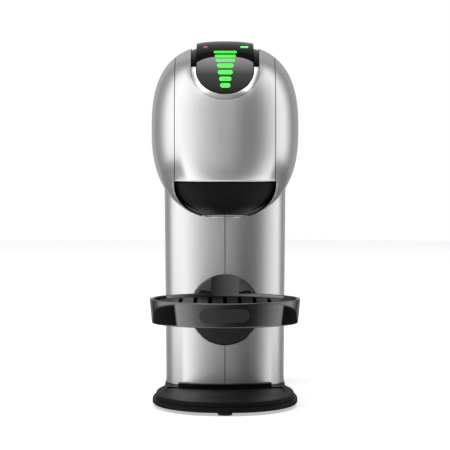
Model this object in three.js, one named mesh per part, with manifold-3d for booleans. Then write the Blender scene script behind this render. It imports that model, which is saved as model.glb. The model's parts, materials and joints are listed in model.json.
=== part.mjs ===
// Pod coffee machine, free-standing, in millimetres.
// +Z is up, -Y is the front where the cup stands, +X is to the right seen from the front.
// The origin is on the worktop under the middle of the machine's bounding box.
import * as THREE from 'three';
import { mergeVertices } from 'three/addons/utils/BufferGeometryUtils.js';
import Module from 'manifold-3d';

// ---------------------------------------------------------------- driving dimensions
// Overall
const WIDTH = 112;
const DEPTH = 289;
const HEIGHT = 273;
const HALF_WIDTH = WIDTH / 2;
const HALF_DEPTH = DEPTH / 2;
const FRONT_Y = -HALF_DEPTH;
const GAP = 0.3;                 // clearance between pieces that are fixed to each other
const RUN = 0.6;                 // clearance between pieces that move on each other

// Display on the crown of the handle
const DISPLAY_PROUD = 2.5;       // how far the crown stands above the head
const DISPLAY_HALF_WIDTH = 21;
const BEZEL_WIDTH = 3.8;
const GLASS_BACK = 4.2;
const GUIDE_THICKNESS = 0.9;
const BEZEL_FLOOR = 2;

// Water tank
const TANK_DEPTH = 65;
const TANK_FRONT_Y = HALF_DEPTH - TANK_DEPTH;
const TANK_HALF_WIDTH = HALF_WIDTH - 10;
const TANK_TOP_Z = HEIGHT - 33;
const TANK_WALL = 2.5;
const TANK_CORNER = 28;
const TANK_FRONT_CORNER = 6;
const LID_THICKNESS = 3;
const OUTLET_Y = TANK_FRONT_Y + 20.5;
const LID_PIN_RADIUS = 1.5;

// Head: a bulb with a superelliptic front view and a domed nose
const HEAD_HALF_WIDTH = HALF_WIDTH - 1;
const HEAD_HALF_HEIGHT = 65;
const HEAD_MIDDLE_Z = HEIGHT - DISPLAY_PROUD - HEAD_HALF_HEIGHT;
const HEAD_NOSE = 78;            // depth of the dome in front of the widest section
const HEAD_FRONT_Y = FRONT_Y + 6.5;
const HEAD_WIDEST_Y = HEAD_FRONT_Y + HEAD_NOSE;
const HEAD_REAR_Y = TANK_FRONT_Y - 2;
const HEAD_REAR_NARROWING = 4;
const HEAD_REAR_DROP = 6;
const HEAD_POWER_UP = 2.7;
const HEAD_POWER_DOWN = 2.35;
const NOSE_POWER = 2.4;
const CHIN_POWER = 4;
const HEAD_WALL = 2.2;

// Cup support ring, its bowl and its grid
const RING_RADIUS = HALF_WIDTH;
const RING_FOOT_RADIUS = RING_RADIUS - 1.7;
const RING_BOTTOM_Z = (HEIGHT - 17) / 4;
const RING_TOP_Z = RING_BOTTOM_Z + 18;
const RING_WALL = 2.4;
const RING_LEDGE = 8;
const RING_Y = FRONT_Y + RING_RADIUS;
const DISC_RADIUS = 27.2;
const DISC_Z = RING_BOTTOM_Z + 5.2;
const DISC_THICKNESS = 6;
const BOWL_WALL = 2;
const GRID_THICKNESS = 2;
const GRID_DROP = 2;             // how far the grid lies under the ring's rim
const BADGE_LENGTH = 36;
const BADGE_HEIGHT = 10;
const BADGE_THICKNESS = 0.7;

// Column under the head
const COLUMN_HALF_WIDTH = HEAD_HALF_WIDTH - 7.5;
const COLUMN_FRONT_Y = RING_Y + RING_RADIUS + 2.5;
const COLUMN_ROUND_DEPTH = 45;
const COLUMN_POWER = 2.4;
const COLUMN_FOOT_TAPER = 0.03;
const COLUMN_WALL = 2.5;
const COLUMN_SLOT = 1.8;         // slot between the two halves, where the support's blade runs

// Base
const FOOT_HEIGHT = 2;
const FLANGE_HALF_WIDTH = HALF_WIDTH - 1.5;
const FLANGE_TOP_Z = 6;
const DECK_STEP = 2.5;           // how far the deck stands in from the flange
const DECK_TOP_Z = 9.6;
const BASE_FRONT_Y = FRONT_Y + 4.5;
const BASE_WIDEST_Y = BASE_FRONT_Y + 78;
const BASE_REAR_Y = HALF_DEPTH - 1.5;
const BASE_REAR_NARROWING = 7;
const BASE_SHOULDER_DEPTH = 91;  // half length of the oval that the plan follows behind its widest
const BASE_POWER = 2.2;
const BASE_CORNER = 22;
const BASE_WALL = 2.2;
const PLATE_THICKNESS = 2.2;
const PAD_HALF_WIDTH = 36;
const PAD_RISE = 2.4;
const SEAT_TOP_Z = 24;           // platform that the tank stands on

// Capsule drawer and the mouth it slides in
const MOUTH_BOTTOM_Z = HEAD_MIDDLE_Z - 62.9;
const MOUTH_TOP_Z = HEAD_MIDDLE_Z - 36.3;
const MOUTH_ROUND_Z = HEAD_MIDDLE_Z - 39;
const MOUTH_FLAT = 16;
const MOUTH_HALF_WIDTH = 37.5;
const MOUTH_POWER = 1.3;
const HOLDER_REAR_Y = HEAD_WIDEST_Y + 14;
const CAPSULE_Y = HEAD_WIDEST_Y - 22;
const CAPSULE_FLANGE_RADIUS = 27.2;
const CAPSULE_TOP_RADIUS = 24.5;
const CAPSULE_TIP_RADIUS = 12;

// Locking handle
const HANDLE_HALF_WIDTH = MOUTH_HALF_WIDTH - 1;
const HANDLE_SKIN = 2.6;
const HANDLE_LINER = 2.1;
const PIVOT_Y = HEAD_REAR_Y - 47.5;
const PIVOT_Z = HEAD_MIDDLE_Z + 34.5;
const PIVOT_SWEEP = 32;          // radius of the handle's rear edge about its pivot
const PIN_RADIUS = 3;
const DISPLAY_BOTTOM_Z = HEAD_MIDDLE_Z + 27.3;
const DISPLAY_SHOULDER_Z = HEAD_MIDDLE_Z + 44.5;
const DISPLAY_REAR_Y = PIVOT_Y - 50;

// ---------------------------------------------------------------- solids
const wasm = await Module();
wasm.setup();

function solid(geometry) {
  const bare = geometry.clone();
  bare.deleteAttribute('normal');
  bare.deleteAttribute('uv');
  const merged = mergeVertices(bare);
  const vertProperties = new Float32Array(merged.attributes.position.array);
  const triVerts = new Uint32Array(merged.index.array);
  return new wasm.Manifold(new wasm.Mesh({ numProp: 3, vertProperties, triVerts }));
}

function geometryOf(manifold) {
  const mesh = manifold.getMesh();
  const geometry = new THREE.BufferGeometry();
  geometry.setAttribute('position', new THREE.BufferAttribute(mesh.vertProperties, 3));
  geometry.setIndex(new THREE.BufferAttribute(mesh.triVerts, 1));
  return geometry;
}

function joined(...solids) {
  return solids.reduce((whole, next) => whole.add(next));
}

function cut(body, ...tools) {
  return tools.reduce((rest, tool) => rest.subtract(tool), body);
}

function box([x0, x1], [y0, y1], [z0, z1]) {
  const geometry = new THREE.BoxGeometry(x1 - x0, y1 - y0, z1 - z0);
  geometry.translate((x0 + x1) / 2, (y0 + y1) / 2, (z0 + z1) / 2);
  return solid(geometry);
}

// A disc or pin between two places on one axis, centred on the other two coordinates.
function pinZ(radius, x, y, [z0, z1], sides = 24) {
  const geometry = new THREE.CylinderGeometry(radius, radius, z1 - z0, sides);
  geometry.rotateX(Math.PI / 2);
  geometry.translate(x, y, (z0 + z1) / 2);
  return solid(geometry);
}

function pinX(radius, [x0, x1], y, z, sides = 24) {
  const geometry = new THREE.CylinderGeometry(radius, radius, x1 - x0, sides);
  geometry.rotateZ(Math.PI / 2);
  geometry.translate((x0 + x1) / 2, y, z);
  return solid(geometry);
}

function pinY(radius, x, [y0, y1], z, sides = 24) {
  const geometry = new THREE.CylinderGeometry(radius, radius, y1 - y0, sides);
  geometry.translate(x, (y0 + y1) / 2, z);
  return solid(geometry);
}

// A turned piece about a vertical axis, from [radius, height] pairs.
function turned(profile, x, y, sides = 32) {
  const points = profile.map(([radius, z]) => new THREE.Vector2(radius, z));
  const geometry = new THREE.LatheGeometry(points, sides);
  geometry.rotateX(Math.PI / 2);
  geometry.translate(x, y, 0);
  return solid(geometry);
}

// A plan outline raised from one height to another.
function raised(shape, [z0, z1], curveSegments = 12) {
  const settings = { depth: z1 - z0, bevelEnabled: false, curveSegments };
  const geometry = new THREE.ExtrudeGeometry(shape, settings);
  geometry.translate(0, 0, z0);
  return solid(geometry);
}

// A front-view outline in X and Z, carried from one Y to another.
function carried(shape, [y0, y1], curveSegments = 12) {
  const settings = { depth: y1 - y0, bevelEnabled: false, curveSegments };
  const geometry = new THREE.ExtrudeGeometry(shape, settings);
  geometry.rotateX(Math.PI / 2);
  geometry.translate(0, y1, 0);
  return solid(geometry);
}

function shapeOf(points) {
  return new THREE.Shape(points.map(([x, y]) => new THREE.Vector2(x, y)));
}

function tube(points, radius, steps, sides = 10) {
  const section = new THREE.Shape();
  for (let i = 0; i < sides; i += 1) {
    const angle = (2 * Math.PI * i) / sides;
    const corner = [radius * Math.cos(angle), radius * Math.sin(angle)];
    if (i === 0) section.moveTo(...corner);
    else section.lineTo(...corner);
  }
  const path = new THREE.CatmullRomCurve3(points.map((p) => new THREE.Vector3(...p)));
  return solid(new THREE.ExtrudeGeometry(section, { steps, extrudePath: path }));
}

function power(value, exponent) {
  return Math.sign(value) * Math.abs(value) ** exponent;
}

// ---------------------------------------------------------------- the head's form
const OUTER_SIDES = 40;
const INNER_SIDES = 28;
const NOSE_STEPS = 10;
const REAR_STEPS = 3;
const NOSE_START = 0.995;

// Width and upper and lower height of the head's section, from its nose to its rear.
function headStation(step, inset, beyond) {
  const width = HEAD_HALF_WIDTH - inset;
  const height = HEAD_HALF_HEIGHT - inset;
  if (step <= NOSE_STEPS) {
    const reach = NOSE_START * Math.cos((Math.PI / 2) * (step / NOSE_STEPS));
    const scale = (1 - reach ** NOSE_POWER) ** (1 / NOSE_POWER);
    const chin = (1 - reach ** CHIN_POWER) ** (1 / CHIN_POWER);
    const y = HEAD_WIDEST_Y - (HEAD_NOSE - inset) * reach;
    return { y, width: width * scale, up: height * scale, down: height * chin };
  }
  const along = (step - NOSE_STEPS) / REAR_STEPS;
  const y = HEAD_WIDEST_Y + along * (HEAD_REAR_Y + beyond - HEAD_WIDEST_Y);
  const drop = HEAD_REAR_DROP * along ** 2;
  const narrow = HEAD_REAR_NARROWING * along ** 2;
  return { y, width: width - narrow, up: height - drop, down: height - drop };
}

// The head's solid, all its sides moved inwards by inset, and its rear carried beyond.
function head(inset, beyond = 0) {
  const steps = NOSE_STEPS + REAR_STEPS;
  const sides = inset > GAP ? INNER_SIDES : OUTER_SIDES;
  const geometry = new THREE.CylinderGeometry(1, 1, 1, sides, steps);
  const position = geometry.attributes.position;
  for (let i = 0; i < position.count; i += 1) {
    const station = headStation(Math.round((position.getY(i) + 0.5) * steps), inset, beyond);
    const x = position.getX(i);
    const z = position.getZ(i);
    const exponent = 2 / (z >= 0 ? HEAD_POWER_UP : HEAD_POWER_DOWN);
    const rise = z >= 0 ? station.up : station.down;
    position.setXYZ(
      i,
      station.width * power(x, exponent),
      station.y,
      HEAD_MIDDLE_Z + rise * power(z, exponent),
    );
  }
  return solid(geometry);
}

// Limits of cutting solids, well past what they cut
const BEYOND = 10;
const ABOVE = HEIGHT + 50;
const FAR_FRONT = FRONT_Y - 30;
const ASIDE = [-WIDTH, WIDTH];
const UPWARD = [0, ABOVE];

// ---------------------------------------------------------------- the column's form
const COLUMN_STEPS = 26;
const COLUMN_BOTTOM_Z = DECK_TOP_Z + 0.4;
const COLUMN_TOP_Z = 190;

function columnPlan(inset, rearY) {
  const middleY = COLUMN_FRONT_Y + COLUMN_ROUND_DEPTH;
  const points = [[COLUMN_HALF_WIDTH - inset, rearY], [-(COLUMN_HALF_WIDTH - inset), rearY]];
  for (let i = COLUMN_STEPS; i >= 0; i -= 1) {
    const angle = (Math.PI * i) / COLUMN_STEPS;
    const x = (COLUMN_HALF_WIDTH - inset) * power(Math.cos(angle), 2 / COLUMN_POWER);
    const y = (COLUMN_ROUND_DEPTH - inset) * power(Math.sin(angle), 2 / COLUMN_POWER);
    points.push([x, middleY - y]);
  }
  return shapeOf(points);
}

function column(inset, [z0, z1], rearY) {
  const settings = { depth: z1 - z0, bevelEnabled: false };
  const geometry = new THREE.ExtrudeGeometry(columnPlan(inset, rearY), settings);
  geometry.translate(0, 0, z0);
  const position = geometry.attributes.position;
  for (let i = 0; i < position.count; i += 1) {
    const down = (COLUMN_TOP_Z - position.getZ(i)) / (COLUMN_TOP_Z - COLUMN_BOTTOM_Z);
    position.setX(i, position.getX(i) * (1 - COLUMN_FOOT_TAPER * down));
  }
  return solid(geometry);
}

function body(inset, columnInset, z0, beyond = 0) {
  const rearY = HEAD_REAR_Y + beyond;
  return joined(head(inset, beyond), column(columnInset, [z0, COLUMN_TOP_Z], rearY));
}

// ---------------------------------------------------------------- the mouth's outline
const MOUTH_STEPS = 7;

function mouth(grow, topZ) {
  const side = [];
  for (let i = 0; i <= MOUTH_STEPS; i += 1) {
    const angle = (Math.PI / 2) * (i / MOUTH_STEPS);
    const spread = (MOUTH_HALF_WIDTH - MOUTH_FLAT) * Math.sin(angle) ** MOUTH_POWER;
    const x = MOUTH_FLAT + grow + spread;
    const z = MOUTH_BOTTOM_Z - grow + (MOUTH_ROUND_Z - MOUTH_BOTTOM_Z) * (1 - Math.cos(angle));
    side.push([x, z]);
  }
  side.push([MOUTH_HALF_WIDTH + grow, topZ]);
  const mirrored = side.map(([x, z]) => [-x, z]).reverse();
  return shapeOf([...side, ...mirrored]);
}

// ---------------------------------------------------------------- the display's outline
function displayOutline(grow) {
  const halfWidth = DISPLAY_HALF_WIDTH + grow;
  const shape = new THREE.Shape();
  shape.moveTo(halfWidth, ABOVE);
  shape.lineTo(-halfWidth, ABOVE);
  shape.lineTo(-halfWidth, DISPLAY_SHOULDER_Z);
  const drop = DISPLAY_SHOULDER_Z - DISPLAY_BOTTOM_Z + grow;
  shape.absellipse(0, DISPLAY_SHOULDER_Z, halfWidth, drop, Math.PI, 2 * Math.PI, false);
  return shape;
}

function displayPrism(grow) {
  return carried(displayOutline(grow), [FAR_FRONT, DISPLAY_REAR_Y + grow], 16);
}

// ---------------------------------------------------------------- base
function basePlan(inset) {
  const halfWidth = FLANGE_HALF_WIDTH - inset;
  const roundDepth = BASE_WIDEST_Y - BASE_FRONT_Y - inset;
  const rearHalf = halfWidth - BASE_REAR_NARROWING;
  const rearY = BASE_REAR_Y - inset;
  const steps = 22;
  const shoulderSteps = 5;
  const shoulder = [];
  for (let i = 0; i <= shoulderSteps; i += 1) {
    const x = halfWidth + ((rearHalf - halfWidth) * i) / shoulderSteps;
    const share = (1 - (x / halfWidth) ** BASE_POWER) ** (1 / BASE_POWER);
    shoulder.push([x, BASE_WIDEST_Y + BASE_SHOULDER_DEPTH * share]);
  }
  const shape = new THREE.Shape();
  shape.moveTo(...shoulder[0]);
  for (const point of shoulder.slice(1)) shape.lineTo(...point);
  shape.absarc(rearHalf - BASE_CORNER, rearY - BASE_CORNER, BASE_CORNER, 0, Math.PI / 2);
  shape.absarc(-rearHalf + BASE_CORNER, rearY - BASE_CORNER, BASE_CORNER, Math.PI / 2, Math.PI);
  for (const [x, y] of shoulder.slice(1).reverse()) shape.lineTo(-x, y);
  for (let i = steps; i > 0; i -= 1) {
    const angle = (Math.PI * i) / steps;
    const x = halfWidth * power(Math.cos(angle), 2 / BASE_POWER);
    const y = roundDepth * power(Math.sin(angle), 2 / BASE_POWER);
    shape.lineTo(x, BASE_WIDEST_Y - y);
  }
  return shape;
}

// The tank's plan, and the platform's under it.
function tankPlan(inset, halfWidth = TANK_HALF_WIDTH, rearY = HALF_DEPTH) {
  const x = halfWidth - inset;
  const front = TANK_FRONT_Y + inset;
  const rear = rearY - inset;
  const corner = TANK_CORNER - inset;
  const frontCorner = TANK_FRONT_CORNER - inset;
  const shape = new THREE.Shape();
  shape.absarc(x - corner, rear - corner, corner, 0, Math.PI / 2);
  shape.absarc(-x + corner, rear - corner, corner, Math.PI / 2, Math.PI);
  shape.absarc(-x + frontCorner, front + frontCorner, frontCorner, Math.PI, 1.5 * Math.PI);
  shape.absarc(x - frontCorner, front + frontCorner, frontCorner, 1.5 * Math.PI, 2 * Math.PI);
  return shape;
}

const SEAT_INSET = 1.6;
const PLATE_BOTTOM_Z = FOOT_HEIGHT;
const PLATE_TOP_Z = PLATE_BOTTOM_Z + PLATE_THICKNESS;
const FLANGE_BOTTOM_Z = FOOT_HEIGHT + 0.4;
const COUPLING_RADIUS = 11;
const GLAND_RADIUS = 4.5;
const GLAND_X = 10;
const GLAND_Z = 15;
const HOSE_RADIUS = 3;
const HOSE_PASSAGE = { x: [-24, 8], z: [DECK_TOP_Z - 0.1, SEAT_TOP_Z - 3] };
const SCREW_X = FLANGE_HALF_WIDTH - 16.5;
const SCREW_PLACES = [COLUMN_FRONT_Y - 30, HEAD_REAR_Y - 17.5]
  .flatMap((y) => [[-SCREW_X, y], [SCREW_X, y]]);
const SCREW_SHANK = 1.4;
const DECK_RECESS_INSET = 9;
const DECK_RECESS_DEPTH = 0.8;

function baseCover() {
  const seat = raised(tankPlan(SEAT_INSET), [DECK_TOP_Z - 1, SEAT_TOP_Z], 6);
  const pad = column(-DISC_THICKNESS, [DECK_TOP_Z - 1, DECK_TOP_Z + PAD_RISE], HEAD_REAR_Y);
  const padWidth = box(
    [-PAD_HALF_WIDTH, PAD_HALF_WIDTH],
    [COLUMN_FRONT_Y - 20, COLUMN_FRONT_Y + 30],
    UPWARD,
  );
  const columnFoot = column(-GAP, [DECK_TOP_Z, SEAT_TOP_Z], HEAD_REAR_Y + GAP);
  const outside = joined(
    raised(basePlan(0), [FLANGE_BOTTOM_Z, FLANGE_TOP_Z], 5),
    raised(basePlan(DECK_STEP), [FLANGE_TOP_Z - 1, DECK_TOP_Z], 5),
    seat,
    cut(pad.intersect(padWidth), columnFoot),
  );
  const recess = cut(
    raised(basePlan(DECK_RECESS_INSET), [DECK_TOP_Z - DECK_RECESS_DEPTH, DECK_TOP_Z + 1], 5),
    column(-DISC_THICKNESS - 2, [0, SEAT_TOP_Z], HALF_DEPTH),
    box(ASIDE, [COLUMN_FRONT_Y, HALF_DEPTH], UPWARD),
  );
  const underside = joined(
    raised(basePlan(DECK_STEP + BASE_WALL), [0, DECK_TOP_Z - BASE_WALL], 5),
    raised(tankPlan(SEAT_INSET + BASE_WALL), [0, SEAT_TOP_Z - BASE_WALL], 6),
  );
  return cut(
    outside,
    recess,
    underside,
    box(HOSE_PASSAGE.x, [TANK_FRONT_Y - 1, TANK_FRONT_Y + 8], HOSE_PASSAGE.z),
    pinZ(COUPLING_RADIUS + GAP, 0, OUTLET_Y, [0, SEAT_TOP_Z + 1]),
    pinY(GLAND_RADIUS + GAP, GLAND_X, [BASE_REAR_Y - 12, HALF_DEPTH + 1], GLAND_Z),
  );
}

function bottomPlate() {
  const plate = raised(basePlan(DECK_STEP + BASE_WALL + GAP), [PLATE_BOTTOM_Z, PLATE_TOP_Z], 5);
  const depth = [0, PLATE_TOP_Z + 1];
  const holes = SCREW_PLACES.map(([x, y]) => pinZ(SCREW_SHANK + GAP, x, y, depth, 12));
  return cut(plate, ...holes);
}

const FRONT_FOOT_RADIUS = 5.3;
const REAR_FOOT_RADIUS = 6;
const FOOT_EDGE = 0.6;
const MIDDLE_FOOT = { x: FLANGE_HALF_WIDTH - 10.5, y: COLUMN_FRONT_Y - 10 };
const REAR_FOOT = { x: FLANGE_HALF_WIDTH - 20.5, y: BASE_REAR_Y - 25 };
const FOOT_PLACES = {
  foot_front: [0, BASE_FRONT_Y + 9, FRONT_FOOT_RADIUS],
  foot_middle_left: [-MIDDLE_FOOT.x, MIDDLE_FOOT.y, FRONT_FOOT_RADIUS],
  foot_middle_right: [MIDDLE_FOOT.x, MIDDLE_FOOT.y, FRONT_FOOT_RADIUS],
  foot_rear_left: [-REAR_FOOT.x, REAR_FOOT.y, REAR_FOOT_RADIUS],
  foot_rear_right: [REAR_FOOT.x, REAR_FOOT.y, REAR_FOOT_RADIUS],
};

function foot([x, y, radius]) {
  const top = FOOT_HEIGHT - GAP;
  const profile = [
    [0, 0], [radius - FOOT_EDGE, 0], [radius, FOOT_EDGE], [radius, top], [0, top],
  ];
  return turned(profile, x, y, 20);
}

const SCREW_HEAD_RADIUS = 3;
const SCREW_HEAD_Z = [0.6, FOOT_HEIGHT - GAP];

function screw([x, y]) {
  const [low, high] = SCREW_HEAD_Z;
  const tip = DECK_TOP_Z - BASE_WALL - GAP;
  const profile = [
    [0, low], [SCREW_HEAD_RADIUS, low], [SCREW_HEAD_RADIUS, high], [SCREW_SHANK, high],
    [SCREW_SHANK, tip], [0, tip],
  ];
  return turned(profile, x, y, 12);
}

// ---------------------------------------------------------------- outer shells
const SEAM_HALF = HANDLE_HALF_WIDTH + 0.5;
const REAR_PLATE_Y = [HEAD_REAR_Y - 3, HEAD_REAR_Y - 0.5];
const SLAB_THICKNESS = 2;
const SLAB_BOTTOM_Z = MOUTH_TOP_Z + 3.1;
const REAR_COVER_Z = HEAD_MIDDLE_Z + 19.5;
const MOUTH_REAR_Y = HOLDER_REAR_Y + 2;
const CHIN_SLOT_Y = CAPSULE_Y + 24;
const PANEL_REAR_Y = PIVOT_Y - 30;

function shellPair() {
  const inside = body(HEAD_WALL, COLUMN_WALL, 0, BEYOND);
  const skin = cut(body(0, 0, COLUMN_BOTTOM_Z), inside);
  const slab = box(
    [SEAM_HALF, SEAM_HALF + SLAB_THICKNESS],
    [FAR_FRONT, REAR_PLATE_Y[0] - GAP],
    [SLAB_BOTTOM_Z, ABOVE],
  );
  const slabs = joined(slab, slab.mirror([1, 0, 0])).intersect(head(HEAD_WALL / 2));
  const width = [-SEAM_HALF, SEAM_HALF];
  const band = box(width, [FAR_FRONT, ABOVE], [REAR_COVER_Z, ABOVE]);
  const panel = box(width, [FAR_FRONT, PANEL_REAR_Y], [MOUTH_TOP_Z, ABOVE]);
  const opening = carried(mouth(0, MOUTH_TOP_Z + 0.1), [FAR_FRONT, MOUTH_REAR_Y], 2);
  const chinHalf = MOUTH_FLAT + 1;
  const chinSlot = box([-chinHalf, chinHalf], [FAR_FRONT, CHIN_SLOT_Y], [0, HEAD_MIDDLE_Z]);
  const seam = box([-COLUMN_SLOT / 2, COLUMN_SLOT / 2], [FAR_FRONT, ABOVE], UPWARD);
  const pinDepth = box([-SEAM_HALF - 3, SEAM_HALF + 3], [PANEL_REAR_Y, HEAD_REAR_Y], UPWARD);
  const pins = pinX(PIN_RADIUS + GAP, ASIDE, PIVOT_Y, PIVOT_Z).intersect(pinDepth);
  const whole = cut(joined(skin, slabs), band, panel, opening, chinSlot, seam, pins);
  const leftSide = box([-ABOVE, 0], [-ABOVE, ABOVE], [-ABOVE, ABOVE]);
  return { left: whole.intersect(leftSide), right: cut(whole, leftSide) };
}

function rearPanel() {
  const inside = body(HEAD_WALL + GAP, COLUMN_WALL + GAP, COLUMN_BOTTOM_Z, BEYOND);
  const plate = inside.intersect(box(ASIDE, REAR_PLATE_Y, [0, REAR_COVER_Z]));
  return cut(plate, box([-20, 4], [0, ABOVE], [0, SEAT_TOP_Z - 2]));
}

function rearTopCover() {
  const half = HANDLE_HALF_WIDTH;
  const outer = box([-half, half], [PIVOT_Y, HEAD_REAR_Y], [REAR_COVER_Z + GAP, ABOVE]);
  const inner = box([2 - half, half - 2], [0, HEAD_REAR_Y - HEAD_WALL], UPWARD);
  return cut(
    head(0).intersect(outer),
    head(HEAD_WALL).intersect(inner),
    pinX(PIVOT_SWEEP + RUN, ASIDE, PIVOT_Y, PIVOT_Z, 72),
  );
}

// ---------------------------------------------------------------- inner frame and water path
const SHELF_Z = [MOUTH_TOP_Z - 4.7, MOUTH_TOP_Z - 1.7];
const SHELF_FRONT_Y = HEAD_WIDEST_Y + 22;
const PUMP_Y = HEAD_REAR_Y - 37.5;
const PUMP_RADIUS = 21;
const PUMP_Z = [34, SHELF_Z[0] - 46.5];
const PUMP_STEM = 11;
const PUMP_INLET_Z = PUMP_Z[0] + 14;
const PUMP_INLET_X = -26;
const LEG_X = [0.8 * COLUMN_HALF_WIDTH, 0.855 * COLUMN_HALF_WIDTH];
const LEG_Y = [PUMP_Y - 15, PUMP_Y + 20];
const MOUNT_THICKNESS = 6;
const MOUNT_RADIUS = 14;
const BRACKET_PLATE = 2.5;
const BRACKET_HALF_WIDTH = 18;
const BRACKET_FRONT_Y = PUMP_Y - 18;
const BRACKET_REAR_Y = PUMP_Y + PUMP_RADIUS + 0.8;
const METER_X = -0.62 * COLUMN_HALF_WIDTH;
const METER_Y = COLUMN_FRONT_Y + 34;
const METER_Z = [DECK_TOP_Z + GAP, PUMP_Z[0]];
const METER_RADIUS = 10;
const METER_STEM = 6;
const BLOCK_HALF_WIDTH = 27;
const BLOCK_Y = [HEAD_WIDEST_Y + 26, PIVOT_Y - 14];
const BLOCK_Z = [HEAD_MIDDLE_Z - 23.5, HEAD_MIDDLE_Z + 16.5];
const BLOCK_GROOVES = [-18, -6, 6, 18];
const BLOCK_GROOVE_HALF = 1.5;
const BLOCK_STAND_X = 22;
const BLOCK_STAND_HALF = 3;
const FEED_Z = HEAD_MIDDLE_Z - 5.5;
const RAIL_Z = [16, SHELF_Z[0] - 32.5];
const RAIL_HALF_WIDTH = 14;
const RAIL_WALL = 2.3;
const RAIL_FRONT_Y = COLUMN_FRONT_Y + COLUMN_WALL + 1.8;
const RAIL_DEPTH = 13;
const SLIDER_HALF_WIDTH = 11.4;
const BLADE_HALF = 0.6;
const BOARD_X = LEG_X[0] - 2.8;
const BOARD_TOP_Z = SHELF_Z[0] - 34.5;
const STUB_SIDES = 14;

function chassis() {
  const shelf = box([-LEG_X[1], LEG_X[1]], [SHELF_FRONT_Y, LEG_Y[1]], SHELF_Z);
  const leg = box(LEG_X, LEG_Y, [COLUMN_BOTTOM_Z, SHELF_Z[0] + 1]);
  const hoseHole = pinZ(HOSE_RADIUS + 4, 0, PUMP_Y, UPWARD, 16);
  return cut(joined(shelf, leg, leg.mirror([1, 0, 0])), hoseHole);
}

function slideRail() {
  const inside = SLIDER_HALF_WIDTH + RUN;
  const rearY = RAIL_FRONT_Y + RAIL_DEPTH;
  const outer = box([-RAIL_HALF_WIDTH, RAIL_HALF_WIDTH], [RAIL_FRONT_Y, rearY], RAIL_Z);
  const channelY = [RAIL_FRONT_Y + RAIL_WALL, rearY - RAIL_WALL];
  const channel = box([-inside, inside], channelY, UPWARD);
  const slotHalf = BLADE_HALF + RUN;
  const slot = box([-slotHalf, slotHalf], [FAR_FRONT, channelY[0] + 1], UPWARD);
  return cut(outer, channel, slot);
}

function pumpBracket() {
  const bottom = PUMP_Z[0] - MOUNT_THICKNESS - 2 * GAP;
  const top = PUMP_Z[1] + MOUNT_THICKNESS + 2 * GAP;
  const front = BRACKET_FRONT_Y;
  const rear = BRACKET_REAR_Y;
  const outside = rear + BRACKET_PLATE;
  const outline = shapeOf([
    [front, COLUMN_BOTTOM_Z], [outside, COLUMN_BOTTOM_Z], [outside, top + BRACKET_PLATE],
    [front, top + BRACKET_PLATE], [front, top], [rear, top], [rear, bottom], [front, bottom],
  ]);
  const settings = { depth: 2 * BRACKET_HALF_WIDTH, bevelEnabled: false };
  const geometry = new THREE.ExtrudeGeometry(outline, settings);
  geometry.rotateX(Math.PI / 2);
  geometry.rotateZ(Math.PI / 2);
  geometry.translate(-BRACKET_HALF_WIDTH, 0, 0);
  const outletHole = pinZ(MOUNT_RADIUS - 8, 0, PUMP_Y, [top - 1, top + BRACKET_PLATE + 1], 16);
  const hollowHalf = BRACKET_HALF_WIDTH - 3;
  const hollow = box(
    [-hollowHalf, hollowHalf],
    [front - 2, rear - 3],
    [COLUMN_BOTTOM_Z + 3, bottom - 3],
  );
  return cut(solid(geometry), outletHole, hollow);
}

function pump() {
  const [bottom, top] = PUMP_Z;
  const end = 10;
  const neck = 13;
  const shoulder = bottom + 6;
  const casing = turned([
    [0, bottom], [end, bottom], [end, shoulder], [PUMP_RADIUS, shoulder],
    [PUMP_RADIUS, top - 8], [neck, top - 8], [neck, top], [HOSE_RADIUS + 1.5, top],
    [HOSE_RADIUS + 1.5, top + PUMP_STEM], [0, top + PUMP_STEM],
  ], 0, PUMP_Y, 20);
  const inlet = pinX(HOSE_RADIUS, [PUMP_INLET_X, -5], PUMP_Y, PUMP_INLET_Z, STUB_SIDES);
  return joined(casing, inlet);
}

function rubberRing(z0, inner) {
  const z1 = z0 + MOUNT_THICKNESS;
  const profile = [[inner, z0], [MOUNT_RADIUS, z0], [MOUNT_RADIUS, z1], [inner, z1], [inner, z0]];
  return turned(profile, 0, PUMP_Y, 18);
}

function flowMeter() {
  const [bottom, top] = METER_Z;
  return joined(
    pinZ(METER_RADIUS, METER_X, METER_Y, [bottom, top]),
    pinZ(HOSE_RADIUS, METER_X, METER_Y, [top - 1, top + METER_STEM], STUB_SIDES),
  );
}

function controlBoard() {
  const y = COLUMN_FRONT_Y + 26;
  const face = BOARD_X - 1.6;
  return joined(
    box([face, BOARD_X], [y, y + 26], [28, BOARD_TOP_Z]),
    box([face - 9.6, face + 0.4], [y + 4, y + 22], [40, 66]),
    box([face - 6.6, face + 0.4], [y + 6, y + 20], [BOARD_TOP_Z - 50, BOARD_TOP_Z - 38]),
  );
}

function thermoblock() {
  const [y0, y1] = BLOCK_Y;
  const [z0, z1] = BLOCK_Z;
  const block = box([-BLOCK_HALF_WIDTH, BLOCK_HALF_WIDTH], BLOCK_Y, BLOCK_Z);
  const grooves = BLOCK_GROOVES.map((x) => box(
    [x - BLOCK_GROOVE_HALF, x + BLOCK_GROOVE_HALF],
    [y0 - 1, y1 + 1],
    [z1 - 4, z1 + 1],
  ));
  const stands = [-BLOCK_STAND_X, BLOCK_STAND_X].map((x) => box(
    [x - BLOCK_STAND_HALF, x + BLOCK_STAND_HALF],
    BLOCK_Y,
    [SHELF_Z[1] + GAP, z0 + 1],
  ));
  return cut(joined(block, ...stands), ...grooves);
}

const COUPLING_Z = [8, SEAT_TOP_Z - 1];
const COUPLING_BORE = 6;
const COUPLING_STUB_Y = OUTLET_Y - 16;
const COUPLING_STUB_Z = 15;

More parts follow.
